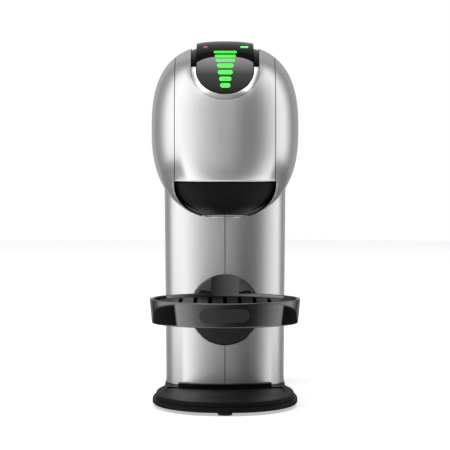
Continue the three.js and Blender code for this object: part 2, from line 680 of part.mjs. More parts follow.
function tankCoupling() {
  const [low, top] = COUPLING_Z;
  const floor = COUPLING_STUB_Z - 1;
  const cup = turned([
    [0, low], [COUPLING_RADIUS, low], [COUPLING_RADIUS, top], [COUPLING_BORE, top],
    [COUPLING_BORE, floor], [0, floor],
  ], 0, OUTLET_Y, 20);
  const stubY = [COUPLING_STUB_Y, OUTLET_Y - COUPLING_RADIUS + 2];
  return joined(cup, pinY(HOSE_RADIUS, 0, stubY, COUPLING_STUB_Z, STUB_SIDES));
}

const GUIDE_ROD_X = 28.5;
const GUIDE_ROD_RADIUS = 2;
const BAY_TOP_Z = MOUTH_TOP_Z + 2.7;
const PLATE_Z = MOUTH_TOP_Z + 5.8;
const PLATE_RADIUS = 22;
const PLATE_THICK = 5;
const FEED_BORE = 3.8;
const FEED_TOP_Z = PLATE_Z + 27;

function capsuleBay() {
  const rearY = SHELF_FRONT_Y - GAP;
  const outer = carried(mouth(3, BAY_TOP_Z), [FAR_FRONT, rearY], 2);
  const inner = carried(mouth(RUN, MOUTH_TOP_Z), [FAR_FRONT, rearY - 2.4], 2);
  const kept = box(ASIDE, [CAPSULE_Y - 36, rearY], [MOUTH_BOTTOM_Z + 9.4, BAY_TOP_Z]);
  const needleHole = pinZ(PLATE_RADIUS + 1.5, 0, CAPSULE_Y, [MOUTH_TOP_Z - 1, BAY_TOP_Z + 1], 36);
  return cut(outer.intersect(kept).intersect(head(HEAD_WALL + 3.5)), inner, needleHole);
}

function guideRod(side) {
  const height = [BAY_TOP_Z + GAP, HEAD_MIDDLE_Z + 6.5];
  return pinZ(GUIDE_ROD_RADIUS, side * GUIDE_ROD_X, CAPSULE_Y, height, STUB_SIDES);
}

const HOSE_END_GAP = 1;
const FEED_HOSE_RADIUS = 2.4;

function tankHose() {
  const turnY = (BRACKET_REAR_Y + BRACKET_PLATE + HEAD_REAR_Y - 3) / 2;
  const meterRearY = METER_Y + METER_RADIUS;
  return tube([
    [0, COUPLING_STUB_Y - HOSE_END_GAP, COUPLING_STUB_Z],
    [-1.5, HEAD_REAR_Y + 0.5, COUPLING_STUB_Z],
    [-8, turnY + 1, COUPLING_STUB_Z + 0.5],
    [-18, turnY - 0.5, COUPLING_STUB_Z + 1],
    [METER_X + 1, turnY - 8, COUPLING_STUB_Z + 2],
    [METER_X - 1, PUMP_Y + 5, COUPLING_STUB_Z + 3],
    [METER_X, meterRearY + 11, COUPLING_STUB_Z + 4],
    [METER_X, meterRearY + HOSE_END_GAP, COUPLING_STUB_Z + 4],
  ], HOSE_RADIUS, 22, 8);
}

function suctionHose() {
  return tube([
    [METER_X, METER_Y, METER_Z[1] + METER_STEM + HOSE_END_GAP],
    [METER_X, METER_Y + 1, PUMP_INLET_Z],
    [METER_X - 2, METER_Y + 12, PUMP_INLET_Z + 6],
    [METER_X - 4.4, PUMP_Y - 10, PUMP_INLET_Z + 4],
    [METER_X - 4, PUMP_Y - 2, PUMP_INLET_Z + 0.8],
    [METER_X - 1.6, PUMP_Y, PUMP_INLET_Z],
    [PUMP_INLET_X - HOSE_END_GAP, PUMP_Y, PUMP_INLET_Z],
  ], HOSE_RADIUS, 18, 8);
}

function pressureHose() {
  return tube([
    [0, PUMP_Y, PUMP_Z[1] + PUMP_STEM + HOSE_END_GAP],
    [0, PUMP_Y, SHELF_Z[0] - 14.5],
    [0, PUMP_Y, SHELF_Z[1] + 7.5],
    [0, PUMP_Y - 5, FEED_Z - 8],
    [0, BLOCK_Y[1] + 10, FEED_Z - 1],
    [0, BLOCK_Y[1] + HOSE_END_GAP, FEED_Z],
  ], HOSE_RADIUS, 16, 8);
}

function brewHose() {
  const over = FEED_TOP_Z + 18;
  return tube([
    [0, BLOCK_Y[0] - HOSE_END_GAP, FEED_Z],
    [0, BLOCK_Y[0] - 12, FEED_Z + 4],
    [0, CAPSULE_Y + 22, over - 3],
    [0, CAPSULE_Y + 9, over],
    [0, CAPSULE_Y + 0.6, over - 7],
    [0, CAPSULE_Y, FEED_TOP_Z + 3],
    [0, CAPSULE_Y, FEED_TOP_Z - 10],
  ], FEED_HOSE_RADIUS, 20, 8);
}

function cordGland() {
  const rearY = BASE_REAR_Y + 1;
  return cut(
    pinY(GLAND_RADIUS, GLAND_X, [rearY - 8, rearY], GLAND_Z, 18),
    pinY(GLAND_RADIUS - 1.3, GLAND_X, [rearY - 9, rearY + 1], GLAND_Z, 18),
  );
}

function couplingSeal() {
  const low = COUPLING_Z[1] + GAP;
  const inner = COUPLING_BORE + 0.5;
  const outer = COUPLING_RADIUS - 1.5;
  const profile = [[inner, low], [outer, low], [outer, low + 0.8], [inner, low + 0.8], [inner, low]];
  return turned(profile, 0, OUTLET_Y, 20);
}

// ---------------------------------------------------------------- needle carriage
const CARRIER_TOP_Z = PLATE_Z + PLATE_THICK;
const FEED_STEM_RADIUS = 7;
const FEED_FLOOR_Z = PLATE_Z + 9;
const NEEDLE_RADIUS = 1.1;
const SEAL_RADIUS = 18;
const YOKE_X = [20, 23.5];
const YOKE_TOP_Z = HEAD_MIDDLE_Z + 24.5;

function needlePlate() {
  const disc = turned([
    [0, PLATE_Z], [PLATE_RADIUS, PLATE_Z], [PLATE_RADIUS, CARRIER_TOP_Z],
    [FEED_STEM_RADIUS, CARRIER_TOP_Z + 1.5], [FEED_STEM_RADIUS, FEED_TOP_Z],
    [FEED_BORE, FEED_TOP_Z], [FEED_BORE, FEED_FLOOR_Z], [0, FEED_FLOOR_Z],
  ], 0, CAPSULE_Y, 24);
  const reach = GUIDE_ROD_X + 4;
  const ears = box([-reach, reach], [CAPSULE_Y - 5, CAPSULE_Y + 5], [PLATE_Z, CARRIER_TOP_Z]);
  const thickness = [PLATE_Z - 1, CARRIER_TOP_Z + 1];
  const holes = [-1, 1].map((side) => pinZ(
    GUIDE_ROD_RADIUS + RUN,
    side * GUIDE_ROD_X,
    CAPSULE_Y,
    thickness,
    STUB_SIDES,
  ));
  return cut(joined(disc, ears), ...holes);
}

function needle() {
  const top = PLATE_Z - GAP;
  const tip = MOUTH_TOP_Z + 0.4;
  const profile = [[0, tip], [NEEDLE_RADIUS, tip + 2.6], [NEEDLE_RADIUS, top], [0, top]];
  return turned(profile, 0, CAPSULE_Y, 12);
}

function needleSeal() {
  const top = PLATE_Z - GAP;
  const low = MOUTH_TOP_Z + 0.8;
  const profile = [
    [SEAL_RADIUS, low], [PLATE_RADIUS, low], [PLATE_RADIUS, top], [SEAL_RADIUS, top],
    [SEAL_RADIUS, low],
  ];
  return turned(profile, 0, CAPSULE_Y, 24);
}

function liftYoke() {
  const y = [CAPSULE_Y - 4, CAPSULE_Y + 4];
  const leg = box(YOKE_X, y, [CARRIER_TOP_Z + GAP, YOKE_TOP_Z]);
  const bridge = box([-YOKE_X[1], YOKE_X[1]], y, [YOKE_TOP_Z - 3, YOKE_TOP_Z]);
  return joined(leg, leg.mirror([1, 0, 0]), bridge);
}

// ---------------------------------------------------------------- capsule drawer
const DRAWER_PLAY = 0.7;

function capsuleHolder() {
  const outline = mouth(-DRAWER_PLAY, MOUTH_TOP_Z - DRAWER_PLAY);
  const blank = carried(outline, [FAR_FRONT, HOLDER_REAR_Y], 2);
  const below = MOUTH_BOTTOM_Z - 5;
  const above = MOUTH_TOP_Z + 1;
  const seat = turned([
    [0, below], [CAPSULE_TIP_RADIUS, below], [CAPSULE_TIP_RADIUS, MOUTH_BOTTOM_Z + 3],
    [CAPSULE_TOP_RADIUS, MOUTH_TOP_Z - 4], [CAPSULE_FLANGE_RADIUS, MOUTH_TOP_Z - 3],
    [CAPSULE_FLANGE_RADIUS, above], [0, above],
  ], 0, CAPSULE_Y);
  return cut(blank.intersect(head(HEAD_WALL + RUN)), seat);
}

// ---------------------------------------------------------------- locking handle
const PANEL_BOTTOM_Z = MOUTH_TOP_Z + GAP;
const LINER_INSET = HANDLE_SKIN + GAP;
const EAR_RADIUS = 11;

function handleBlank() {
  const width = [-HANDLE_HALF_WIDTH, HANDLE_HALF_WIDTH];
  const front = box(width, [FAR_FRONT, PIVOT_Y], [PANEL_BOTTOM_Z, ABOVE]);
  const rear = pinX(PIVOT_SWEEP, width, PIVOT_Y, PIVOT_Z, 72);
  const low = box(ASIDE, [SHELF_FRONT_Y, HEAD_REAR_Y + BEYOND], [0, PIVOT_Z + 10]);
  return cut(joined(front, rear), low);
}

function handleShell() {
  const skin = cut(head(0), head(HANDLE_SKIN, BEYOND));
  return cut(skin.intersect(handleBlank()), displayPrism(BEZEL_WIDTH + GAP));
}

function handleFrame() {
  const liner = cut(head(LINER_INSET), head(LINER_INSET + HANDLE_LINER, BEYOND));
  const sheet = liner.intersect(handleBlank());
  const earX = [HANDLE_HALF_WIDTH - 3, HANDLE_HALF_WIDTH];
  const ear = joined(
    pinX(EAR_RADIUS, earX, PIVOT_Y, PIVOT_Z, 28),
    box(earX, [PIVOT_Y - 40, PIVOT_Y], [PIVOT_Z, ABOVE]),
    box(earX, [PIVOT_Y - 1, PIVOT_Y + EAR_RADIUS], [PIVOT_Z, PIVOT_Z + 12]),
  ).intersect(head(LINER_INSET));
  const bore = pinX(PIN_RADIUS + RUN, ASIDE, PIVOT_Y, PIVOT_Z);
  return cut(joined(sheet, ear, ear.mirror([1, 0, 0])), bore, displayPrism(BEZEL_WIDTH + GAP));
}

function hingePin(side) {
  const from = HANDLE_HALF_WIDTH - 4;
  const to = SEAM_HALF + SLAB_THICKNESS - GAP;
  return pinX(PIN_RADIUS, side > 0 ? [from, to] : [-to, -from], PIVOT_Y, PIVOT_Z);
}

// The flat facet that faces the user, cut across the proud crown of the glass.
const FACET_LOW = [HEAD_FRONT_Y + 5.4, DISPLAY_BOTTOM_Z];
const FACET_HIGH = [HEAD_FRONT_Y + 22.5, DISPLAY_BOTTOM_Z + 25.9];

function facetCut() {
  const [y0, z0] = FACET_LOW;
  const [y1, z1] = FACET_HIGH;
  const size = 60;
  const slope = Math.atan2(z1 - z0, y1 - y0);
  const geometry = new THREE.BoxGeometry(2 * size, 3 * size, size);
  geometry.translate(0, 0, size / 2);
  geometry.rotateX(slope);
  geometry.translate(0, (y0 + y1) / 2, (z0 + z1) / 2);
  return solid(geometry);
}

function displayLayer(grow, outerInset, innerInset) {
  return cut(head(outerInset), head(innerInset, BEYOND)).intersect(displayPrism(grow));
}

const FLOOR_TOP = GLASS_BACK + GUIDE_THICKNESS + 2 * GAP;

function displayGlass() {
  return cut(displayLayer(0, -DISPLAY_PROUD, GLASS_BACK), facetCut());
}

function displayBezel() {
  const tray = displayLayer(BEZEL_WIDTH, 0.2, FLOOR_TOP + BEZEL_FLOOR);
  return cut(tray, displayLayer(GAP, -DISPLAY_PROUD, FLOOR_TOP));
}

function lightGuide() {
  const inset = GLASS_BACK + GAP;
  return displayLayer(-DISPLAY_HALF_WIDTH / 2, inset, inset + GUIDE_THICKNESS)
    .intersect(box(ASIDE, [FAR_FRONT, DISPLAY_REAR_Y - 8], UPWARD));
}

function displayBoard() {
  const z = HEAD_MIDDLE_Z + 47.5;
  const rear = HEAD_WIDEST_Y + 20;
  const plate = box([-16, 16], [rear - 52, rear], [z, z + 1.6]);
  const chip = box([-6, 6], [rear - 32, rear - 20], [z - 2, z + 0.5]);
  return joined(plate, chip);
}

// ---------------------------------------------------------------- cup support
const RING_SIDES = 52;
const BOWL_SIDES = 40;
const RIM_INNER = RING_RADIUS - RING_WALL;
const LEDGE_TOP_Z = RING_BOTTOM_Z + 2;
const BOWL_RADIUS = RING_FOOT_RADIUS - RING_WALL - RUN;
const BOWL_TOP_Z = RING_TOP_Z - GRID_DROP - GRID_THICKNESS - GAP;
const COLUMN_CLEARANCE = 0.4;
const BLADE_FRONT_Y = COLUMN_FRONT_Y - COLUMN_CLEARANCE + GAP;
const BLADE_Z = [DISC_Z - 12, DISC_Z + 12];
const SLIDER_Z = [DISC_Z - 13, DISC_Z + 13];

function trayRing() {
  const footInner = RING_FOOT_RADIUS - RING_WALL;
  const ring = turned([
    [footInner - RING_LEDGE, RING_BOTTOM_Z], [RING_FOOT_RADIUS, RING_BOTTOM_Z],
    [RING_RADIUS, RING_TOP_Z], [RIM_INNER, RING_TOP_Z], [footInner, LEDGE_TOP_Z],
    [footInner - RING_LEDGE, LEDGE_TOP_Z], [footInner - RING_LEDGE, RING_BOTTOM_Z],
  ], 0, RING_Y, RING_SIDES);
  const discY = [COLUMN_FRONT_Y - DISC_THICKNESS, COLUMN_FRONT_Y + 10];
  const disc = pinY(DISC_RADIUS, 0, discY, DISC_Z, 40);
  const bowlSpace = turned([
    [0, RING_BOTTOM_Z], [footInner, RING_BOTTOM_Z], [footInner, LEDGE_TOP_Z], [RIM_INNER, RING_TOP_Z],
    [RIM_INNER, RING_TOP_Z + 40], [0, RING_TOP_Z + 40],
  ], 0, RING_Y, RING_SIDES);
  const clearance = column(-COLUMN_CLEARANCE, [0, COLUMN_TOP_Z], HEAD_REAR_Y);
  return cut(joined(ring, cut(disc, bowlSpace, clearance)), badgePocket());
}

function traySlider() {
  const inset = RAIL_WALL + RUN;
  const y = [RAIL_FRONT_Y + inset, RAIL_FRONT_Y + RAIL_DEPTH - inset];
  const blade = box([-BLADE_HALF, BLADE_HALF], [BLADE_FRONT_Y, y[0] + 2], BLADE_Z);
  return joined(blade, box([-SLIDER_HALF_WIDTH, SLIDER_HALF_WIDTH], y, SLIDER_Z));
}

function dripBowl() {
  const low = LEDGE_TOP_Z + GAP;
  return turned([
    [0, low], [BOWL_RADIUS, low], [BOWL_RADIUS, BOWL_TOP_Z], [BOWL_RADIUS - BOWL_WALL, BOWL_TOP_Z],
    [BOWL_RADIUS - BOWL_WALL, low + BOWL_WALL], [0, low + BOWL_WALL],
  ], 0, RING_Y, BOWL_SIDES);
}

const SLOT_HALF = 1.5;
const SLOTS = 7;
const SLOT_PITCH = 11;
const GRID_EDGE = 9;             // solid rim around the slots

function dripGrid() {
  const z0 = BOWL_TOP_Z + GAP;
  const z1 = z0 + GRID_THICKNESS;
  const profile = [[0, z0], [BOWL_RADIUS, z0], [BOWL_RADIUS, z1], [0, z1]];
  const grid = turned(profile, 0, RING_Y, BOWL_SIDES);
  const slots = [];
  for (let i = 0; i < SLOTS; i += 1) {
    const x = (i - (SLOTS - 1) / 2) * SLOT_PITCH;
    const half = Math.sqrt((BOWL_RADIUS - GRID_EDGE) ** 2 - x ** 2);
    const width = [x - SLOT_HALF, x + SLOT_HALF];
    slots.push(box(width, [RING_Y - half, RING_Y + half], [z0 - 1, z1 + 1]));
  }
  return cut(grid, ...slots);
}

// The plain pill-shaped badge is let into a pocket in the ring's front.
function ringSolid(grow) {
  return turned([
    [0, RING_BOTTOM_Z], [RING_FOOT_RADIUS + grow, RING_BOTTOM_Z], [RING_RADIUS + grow, RING_TOP_Z],
    [0, RING_TOP_Z],
  ], 0, RING_Y, RING_SIDES);
}

function badgePill(grow) {
  const radius = BADGE_HEIGHT / 2 + grow;
  const half = (BADGE_LENGTH - BADGE_HEIGHT) / 2;
  const shape = new THREE.Shape();
  shape.absarc(half, 0, radius, -Math.PI / 2, Math.PI / 2);
  shape.absarc(-half, 0, radius, Math.PI / 2, 1.5 * Math.PI);
  const middle = (RING_TOP_Z + RING_BOTTOM_Z) / 2;
  return carried(shape, [FAR_FRONT, RING_Y], 6).translate([0, 0, middle]);
}

function badgePocket() {
  return cut(badgePill(GAP), ringSolid(-BADGE_THICKNESS - GAP));
}

function badge() {
  return cut(badgePill(0).intersect(ringSolid(0)), ringSolid(-BADGE_THICKNESS));
}

// ---------------------------------------------------------------- tank and lid
const TANK_BOTTOM_Z = SEAT_TOP_Z + 0.5;
const HINGE_Y = HALF_DEPTH - 5;
const HINGE_Z = TANK_TOP_Z + 5;
const KNUCKLE_RADIUS = 3.2;
const KNUCKLE_X = [-12, 12];
const LUG_X = [KNUCKLE_X[1] + 1, KNUCKLE_X[1] + 4.5];
const VALVE_RADIUS = 4.6;
const VALVE_TOP_Z = TANK_BOTTOM_Z + TANK_WALL + GAP;
const PLUG_DEPTH = 4;
const PLUG_PLAY = 1;
const PLUG_WALL = 2;
const GRIP_HALF_WIDTH = 14;
const GRIP_Y = [TANK_FRONT_Y + 6, TANK_FRONT_Y + 10];
const GRIP_HEIGHT = 6;
const LID_REAR_Y = HINGE_Y - 4;

function lidBore() {
  return pinX(LID_PIN_RADIUS + GAP, ASIDE, HINGE_Y, HINGE_Z, STUB_SIDES);
}

function waterTank() {
  const outer = raised(tankPlan(0), [TANK_BOTTOM_Z, TANK_TOP_Z], 6);
  const inner = raised(tankPlan(TANK_WALL), [TANK_BOTTOM_Z + TANK_WALL, ABOVE], 6);
  const outlet = pinZ(VALVE_RADIUS + RUN, 0, OUTLET_Y, [0, VALVE_TOP_Z + 1], 20);
  const lug = box(LUG_X, [HINGE_Y - 2.5, HINGE_Y + 4.5], [TANK_TOP_Z - 12, HINGE_Z + 3]);
  return cut(joined(cut(outer, inner), lug, lug.mirror([1, 0, 0])), outlet, lidBore());
}

function tankLid() {
  const z0 = TANK_TOP_Z + GAP;
  const z1 = z0 + LID_THICKNESS;
  const plate = raised(tankPlan(0), [z0, z1], 6).intersect(box(ASIDE, [0, LID_REAR_Y], UPWARD));
  const plugInset = TANK_WALL + PLUG_PLAY;
  const plug = cut(
    raised(tankPlan(plugInset), [z0 - PLUG_DEPTH, z0 + 1], 6),
    raised(tankPlan(plugInset + PLUG_WALL), [z0 - PLUG_DEPTH - 1, z0], 6),
  ).intersect(box(ASIDE, [0, LID_REAR_Y - 1], UPWARD));
  const arm = box(KNUCKLE_X, [LID_REAR_Y - 2, HINGE_Y], [z0 + 2 * GAP, HINGE_Z + 1]);
  const knuckle = pinX(KNUCKLE_RADIUS, KNUCKLE_X, HINGE_Y, HINGE_Z, 20);
  const grip = box([-GRIP_HALF_WIDTH, GRIP_HALF_WIDTH], GRIP_Y, [z1 - 1, z1 + GRIP_HEIGHT]);
  return cut(joined(plate, plug, arm, knuckle, grip), lidBore());
}

function lidPin() {
  const half = LUG_X[1] - 0.2;
  return pinX(LID_PIN_RADIUS, [-half, half], HINGE_Y, HINGE_Z, 12);
}

const POPPET_STEM = 2.6;
const POPPET_RADIUS = 8;

function tankValve() {
  const low = TANK_BOTTOM_Z - 4;
  const seat = VALVE_TOP_Z;
  return turned([
    [0, low], [POPPET_STEM, low], [POPPET_STEM, seat], [POPPET_RADIUS, seat],
    [POPPET_RADIUS, seat + 2], [POPPET_STEM + 0.4, seat + 3], [POPPET_STEM + 0.4, seat + 8],
    [0, seat + 8],
  ], 0, OUTLET_Y, 20);
}

const CAGE_RADIUS = 10.5;
const CAGE_WALL = 1.5;
const CAGE_TOP_Z = VALVE_TOP_Z + 14;
const CAGE_BORE = 4;

function valveCage() {
  const inner = CAGE_RADIUS - CAGE_WALL;
  const cage = turned([
    [inner, VALVE_TOP_Z], [CAGE_RADIUS, VALVE_TOP_Z], [CAGE_RADIUS, CAGE_TOP_Z],
    [CAGE_BORE, CAGE_TOP_Z], [CAGE_BORE, CAGE_TOP_Z - CAGE_WALL],
    [inner, CAGE_TOP_Z - CAGE_WALL], [inner, VALVE_TOP_Z],
  ], 0, OUTLET_Y, 20);
  const across = [OUTLET_Y - 2 * CAGE_RADIUS, OUTLET_Y + 2 * CAGE_RADIUS];
  return cut(cage, box([-3, 3], across, [VALVE_TOP_Z + 3, CAGE_TOP_Z - 3]));
}

const SPRING_RADIUS = 5.4;
const SPRING_WIRE = 0.5;
const SPRING_TURNS = 3;
const SPRING_STEPS = 8;

function valveSpring() {
  const low = VALVE_TOP_Z + 4;
  const high = CAGE_TOP_Z - 2.4;
  const steps = SPRING_TURNS * SPRING_STEPS;
  const points = [];
  for (let i = 0; i <= steps; i += 1) {
    const angle = (2 * Math.PI * i) / SPRING_STEPS;
    points.push([
      SPRING_RADIUS * Math.cos(angle),
      OUTLET_Y + SPRING_RADIUS * Math.sin(angle),
      low + ((high - low) * i) / steps,
    ]);
  }
  return tube(points, SPRING_WIRE, steps, 5);
}

// ---------------------------------------------------------------- the machine
const machine = new THREE.Group();

function add(name, body3d, color, roughness, metalness = 0, extra = {}) {
  const material = new THREE.MeshStandardMaterial({ color, roughness, metalness, ...extra });
  const mesh = new THREE.Mesh(geometryOf(body3d), material);
  mesh.name = name;
  machine.add(mesh);
}

const SILVER = 0xb9babb;
const BLACK = 0x17181a;
const DARK = 0x26282b;
const RUBBER = 0x2b2b2b;
const STEEL = 0xa8abae;
const SILICONE = 0xd9d6cc;
const BOARD = 0x1f5a38;
const DISPLAY_BLACK = 0x0c0c0e;
const GREEN_LIGHT = 0x39ff4a;
const SMOKE = 0x4a4f55;

add('base_cover', baseCover(), BLACK, 0.4);
add('bottom_plate', bottomPlate(), DARK, 0.7);
Object.entries(FOOT_PLACES).forEach(([name, place]) => add(name, foot(place), RUBBER, 0.9));
SCREW_PLACES.forEach((place, i) => add(`base_screw_${i + 1}`, screw(place), STEEL, 0.35, 1));

const shells = shellPair();
add('shell_left', shells.left, SILVER, 0.32, 0.7);
add('shell_right', shells.right, SILVER, 0.32, 0.7);
add('rear_panel', rearPanel(), BLACK, 0.5);
add('rear_top_cover', rearTopCover(), SILVER, 0.32, 0.7);
add('chassis', chassis(), DARK, 0.6);
add('slide_rail', slideRail(), DARK, 0.5);
add('pump_bracket', pumpBracket(), STEEL, 0.4, 0.9);
add('pump', pump(), DARK, 0.5);
add('pump_mount_lower', rubberRing(PUMP_Z[0] - MOUNT_THICKNESS - GAP, 3), RUBBER, 0.9);
add('pump_mount_upper', rubberRing(PUMP_Z[1] + GAP, 5), RUBBER, 0.9);
add('flow_meter', flowMeter(), SILICONE, 0.5);
add('control_board', controlBoard(), BOARD, 0.6);
add('thermoblock', thermoblock(), STEEL, 0.45, 0.8);
add('tank_coupling', tankCoupling(), DARK, 0.5);
add('coupling_seal', couplingSeal(), RUBBER, 0.9);
add('hose_tank', tankHose(), SILICONE, 0.5);
add('hose_suction', suctionHose(), SILICONE, 0.5);
add('hose_pressure', pressureHose(), SILICONE, 0.5);
add('hose_brew', brewHose(), SILICONE, 0.5);
add('cord_gland', cordGland(), RUBBER, 0.8);
add('capsule_bay', capsuleBay(), BLACK, 0.6);
add('guide_rod_left', guideRod(-1), STEEL, 0.25, 1);
add('guide_rod_right', guideRod(1), STEEL, 0.25, 1);
add('hinge_pin_left', hingePin(-1), STEEL, 0.25, 1);
add('hinge_pin_right', hingePin(1), STEEL, 0.25, 1);

add('handle_shell', handleShell(), SILVER, 0.32, 0.7);
add('handle_frame', handleFrame(), BLACK, 0.6);
add('display_bezel', displayBezel(), SILVER, 0.25, 0.8);
add('display_glass', displayGlass(), DISPLAY_BLACK, 0.08);
add('light_guide', lightGuide(), GREEN_LIGHT, 0.4);
add('display_board', displayBoard(), BOARD, 0.6);

add('needle_plate', needlePlate(), DARK, 0.5);
add('needle', needle(), STEEL, 0.2, 1);
add('needle_seal', needleSeal(), SILICONE, 0.8);
add('lift_yoke', liftYoke(), STEEL, 0.35, 1);
add('capsule_holder', capsuleHolder(), BLACK, 0.35);

add('tray_ring', trayRing(), BLACK, 0.12);
add('tray_slider', traySlider(), STEEL, 0.35, 1);
add('tray_badge', badge(), DARK, 0.3);
add('drip_bowl', dripBowl(), BLACK, 0.4);
add('drip_grid', dripGrid(), BLACK, 0.25);

add('water_tank', waterTank(), SMOKE, 0.08, 0, { transparent: true, opacity: 0.45 });
add('tank_valve', tankValve(), DARK, 0.5);
add('valve_cage', valveCage(), DARK, 0.5);
add('valve_spring', valveSpring(), STEEL, 0.3, 1);
add('tank_lid', tankLid(), BLACK, 0.4);
add('lid_pin', lidPin(), STEEL, 0.25, 1);

export default machine;
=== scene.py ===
"""Pod coffee machine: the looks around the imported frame. Metres, +Z up, -Y is the front."""
import json
import math
import bmesh
import bpy
import numpy as np
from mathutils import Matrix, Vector

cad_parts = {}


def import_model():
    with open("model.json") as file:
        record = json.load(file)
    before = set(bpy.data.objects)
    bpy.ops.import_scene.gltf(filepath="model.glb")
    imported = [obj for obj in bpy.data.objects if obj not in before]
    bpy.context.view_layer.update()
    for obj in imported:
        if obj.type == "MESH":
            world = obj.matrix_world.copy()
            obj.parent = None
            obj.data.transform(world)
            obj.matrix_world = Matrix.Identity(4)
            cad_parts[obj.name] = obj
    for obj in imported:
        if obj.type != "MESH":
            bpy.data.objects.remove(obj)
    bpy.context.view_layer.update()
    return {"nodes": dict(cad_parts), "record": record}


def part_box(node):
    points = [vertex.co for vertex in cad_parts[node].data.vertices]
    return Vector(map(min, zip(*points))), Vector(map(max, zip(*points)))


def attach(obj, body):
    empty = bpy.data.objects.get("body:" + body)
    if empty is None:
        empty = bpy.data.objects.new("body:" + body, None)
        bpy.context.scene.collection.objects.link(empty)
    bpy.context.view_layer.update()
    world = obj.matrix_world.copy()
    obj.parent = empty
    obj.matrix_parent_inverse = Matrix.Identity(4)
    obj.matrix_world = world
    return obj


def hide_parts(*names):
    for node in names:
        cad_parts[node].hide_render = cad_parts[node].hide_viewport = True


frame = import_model()
MM = 0.001


# ------------------------------------------------------------------ sizes, from the frame
def box(node):
    """A CAD node's low and high corner in millimetres."""
    low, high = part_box(node)
    return np.array(low) / MM, np.array(high) / MM


SHELL_LOW, SHELL_HIGH = box("shell_right")
HANDLE_LOW, HANDLE_HIGH = box("handle_shell")
RING_LOW, RING_HIGH = box("tray_ring")
BASE_LOW, BASE_HIGH = box("base_cover")
TANK_LOW, TANK_HIGH = box("water_tank")
GLASS_LOW, GLASS_HIGH = box("display_glass")

GAP = 0.3
HEAD_HALF_WIDTH = SHELL_HIGH[0]
HEAD_HALF_HEIGHT = 65.0
HEAD_MIDDLE_Z = 205.5
HEAD_NOSE = 78.0
HEAD_WIDEST_Y = -60.0
HEAD_REAR_Y = SHELL_HIGH[1]
HEAD_REAR_NARROWING = 4.0
HEAD_REAR_DROP = 6.0
HEAD_POWER_UP = 2.7
HEAD_POWER_DOWN = 2.35
NOSE_POWER = 2.4
CHIN_POWER = 4.0
HEAD_WALL = 2.2

COLUMN_HALF_WIDTH = 47.5
COLUMN_FRONT_Y = -30.0
COLUMN_ROUND_DEPTH = 45.0
COLUMN_POWER = 2.4
COLUMN_FOOT_TAPER = 0.03
COLUMN_WALL = 2.5
COLUMN_BOTTOM_Z = SHELL_LOW[2]
COLUMN_TOP_Z = 190.0
COLUMN_SLOT = 0.5

MOUTH_BOTTOM_Z = 142.6
MOUTH_TOP_Z = 169.2
MOUTH_FLAT = 16.0
MOUTH_HALF_WIDTH = 37.5
MOUTH_ROUND_Z = 166.5
MOUTH_POWER = 1.3
HANDLE_HALF_WIDTH = HANDLE_HIGH[0]
HANDLE_SKIN = 2.4
PANEL_BOTTOM_Z = HANDLE_LOW[2]
SEAM_HALF = HANDLE_HALF_WIDTH + 0.5
PIVOT_Y = 30.0
PIVOT_Z = 240.0
PIVOT_SWEEP = 32.0
REAR_COVER_Z = 225.0

DISPLAY_HALF_WIDTH = GLASS_HIGH[0]
DISPLAY_BOTTOM_Z = GLASS_LOW[2]
DISPLAY_SHOULDER_Z = 250.0
DISPLAY_REAR_Y = GLASS_HIGH[1]
DISPLAY_PROUD = 2.5
BEZEL_WIDTH = 3.8
FACET_LOW = np.array([-132.6, 232.8])
FACET_HIGH = np.array([-115.5, 258.7])

RING_RADIUS = RING_HIGH[0]
RING_FOOT_RADIUS = 54.3
RING_TOP_Z = 82.0
RING_BOTTOM_Z = 64.0
RING_WALL = 2.4
RING_Y = RING_LOW[1] + RING_RADIUS
DISC_RADIUS = 27.2
DISC_Z = 69.2
DISC_FRONT_Y = COLUMN_FRONT_Y - 6.0


# ------------------------------------------------------------------ mesh helpers
def linked(name, mesh):
    obj = bpy.data.objects.new(name, mesh)
    bpy.context.scene.collection.objects.link(obj)
    return obj


def mesh_object(name, points, faces):
    """A mesh object from points in millimetres."""
    mesh = bpy.data.meshes.new(name)
    mesh.from_pydata((np.asarray(points, float) * MM).tolist(), [], [list(map(int, f)) for f in faces])
    mesh.validate()
    mesh.update()
    return linked(name, mesh)


def smooth(obj, angle=40):
    obj.data.shade_smooth()
    obj.data.set_sharp_from_angle(angle=math.radians(angle))


def apply_modifiers(obj):
    """Replaces the object's mesh by what its modifiers make of it."""
    graph = bpy.context.evaluated_depsgraph_get()
    made = bpy.data.meshes.new_from_object(obj.evaluated_get(graph))
    old = obj.data
    obj.modifiers.clear()
    obj.data = made
    bpy.data.meshes.remove(old)
    return obj


def boolean(obj, other, operation):
    modifier = obj.modifiers.new(operation, "BOOLEAN")
    modifier.operation = operation
    modifier.solver = "MANIFOLD"
    modifier.object = other
    apply_modifiers(obj)
    bpy.data.objects.remove(other)
    return obj


def cut(obj, *tools):
    for tool in tools:
        boolean(obj, tool, "DIFFERENCE")
    return obj


def common(obj, other):
    return boolean(obj, other, "INTERSECT")


def union(obj, other):
    return boolean(obj, other, "UNION")


def copied(obj):
    return linked(obj.name, obj.data.copy())


def block(x, y, z):
    (x0, x1), (y0, y1), (z0, z1) = x, y, z
    points = [(i, j, k) for i in (x0, x1) for j in (y0, y1) for k in (z0, z1)]
    faces = [(0, 1, 3, 2), (4, 6, 7, 5), (0, 4, 5, 1), (2, 3, 7, 6), (0, 2, 6, 4), (1, 5, 7, 3)]
    return mesh_object("tool", points, faces)


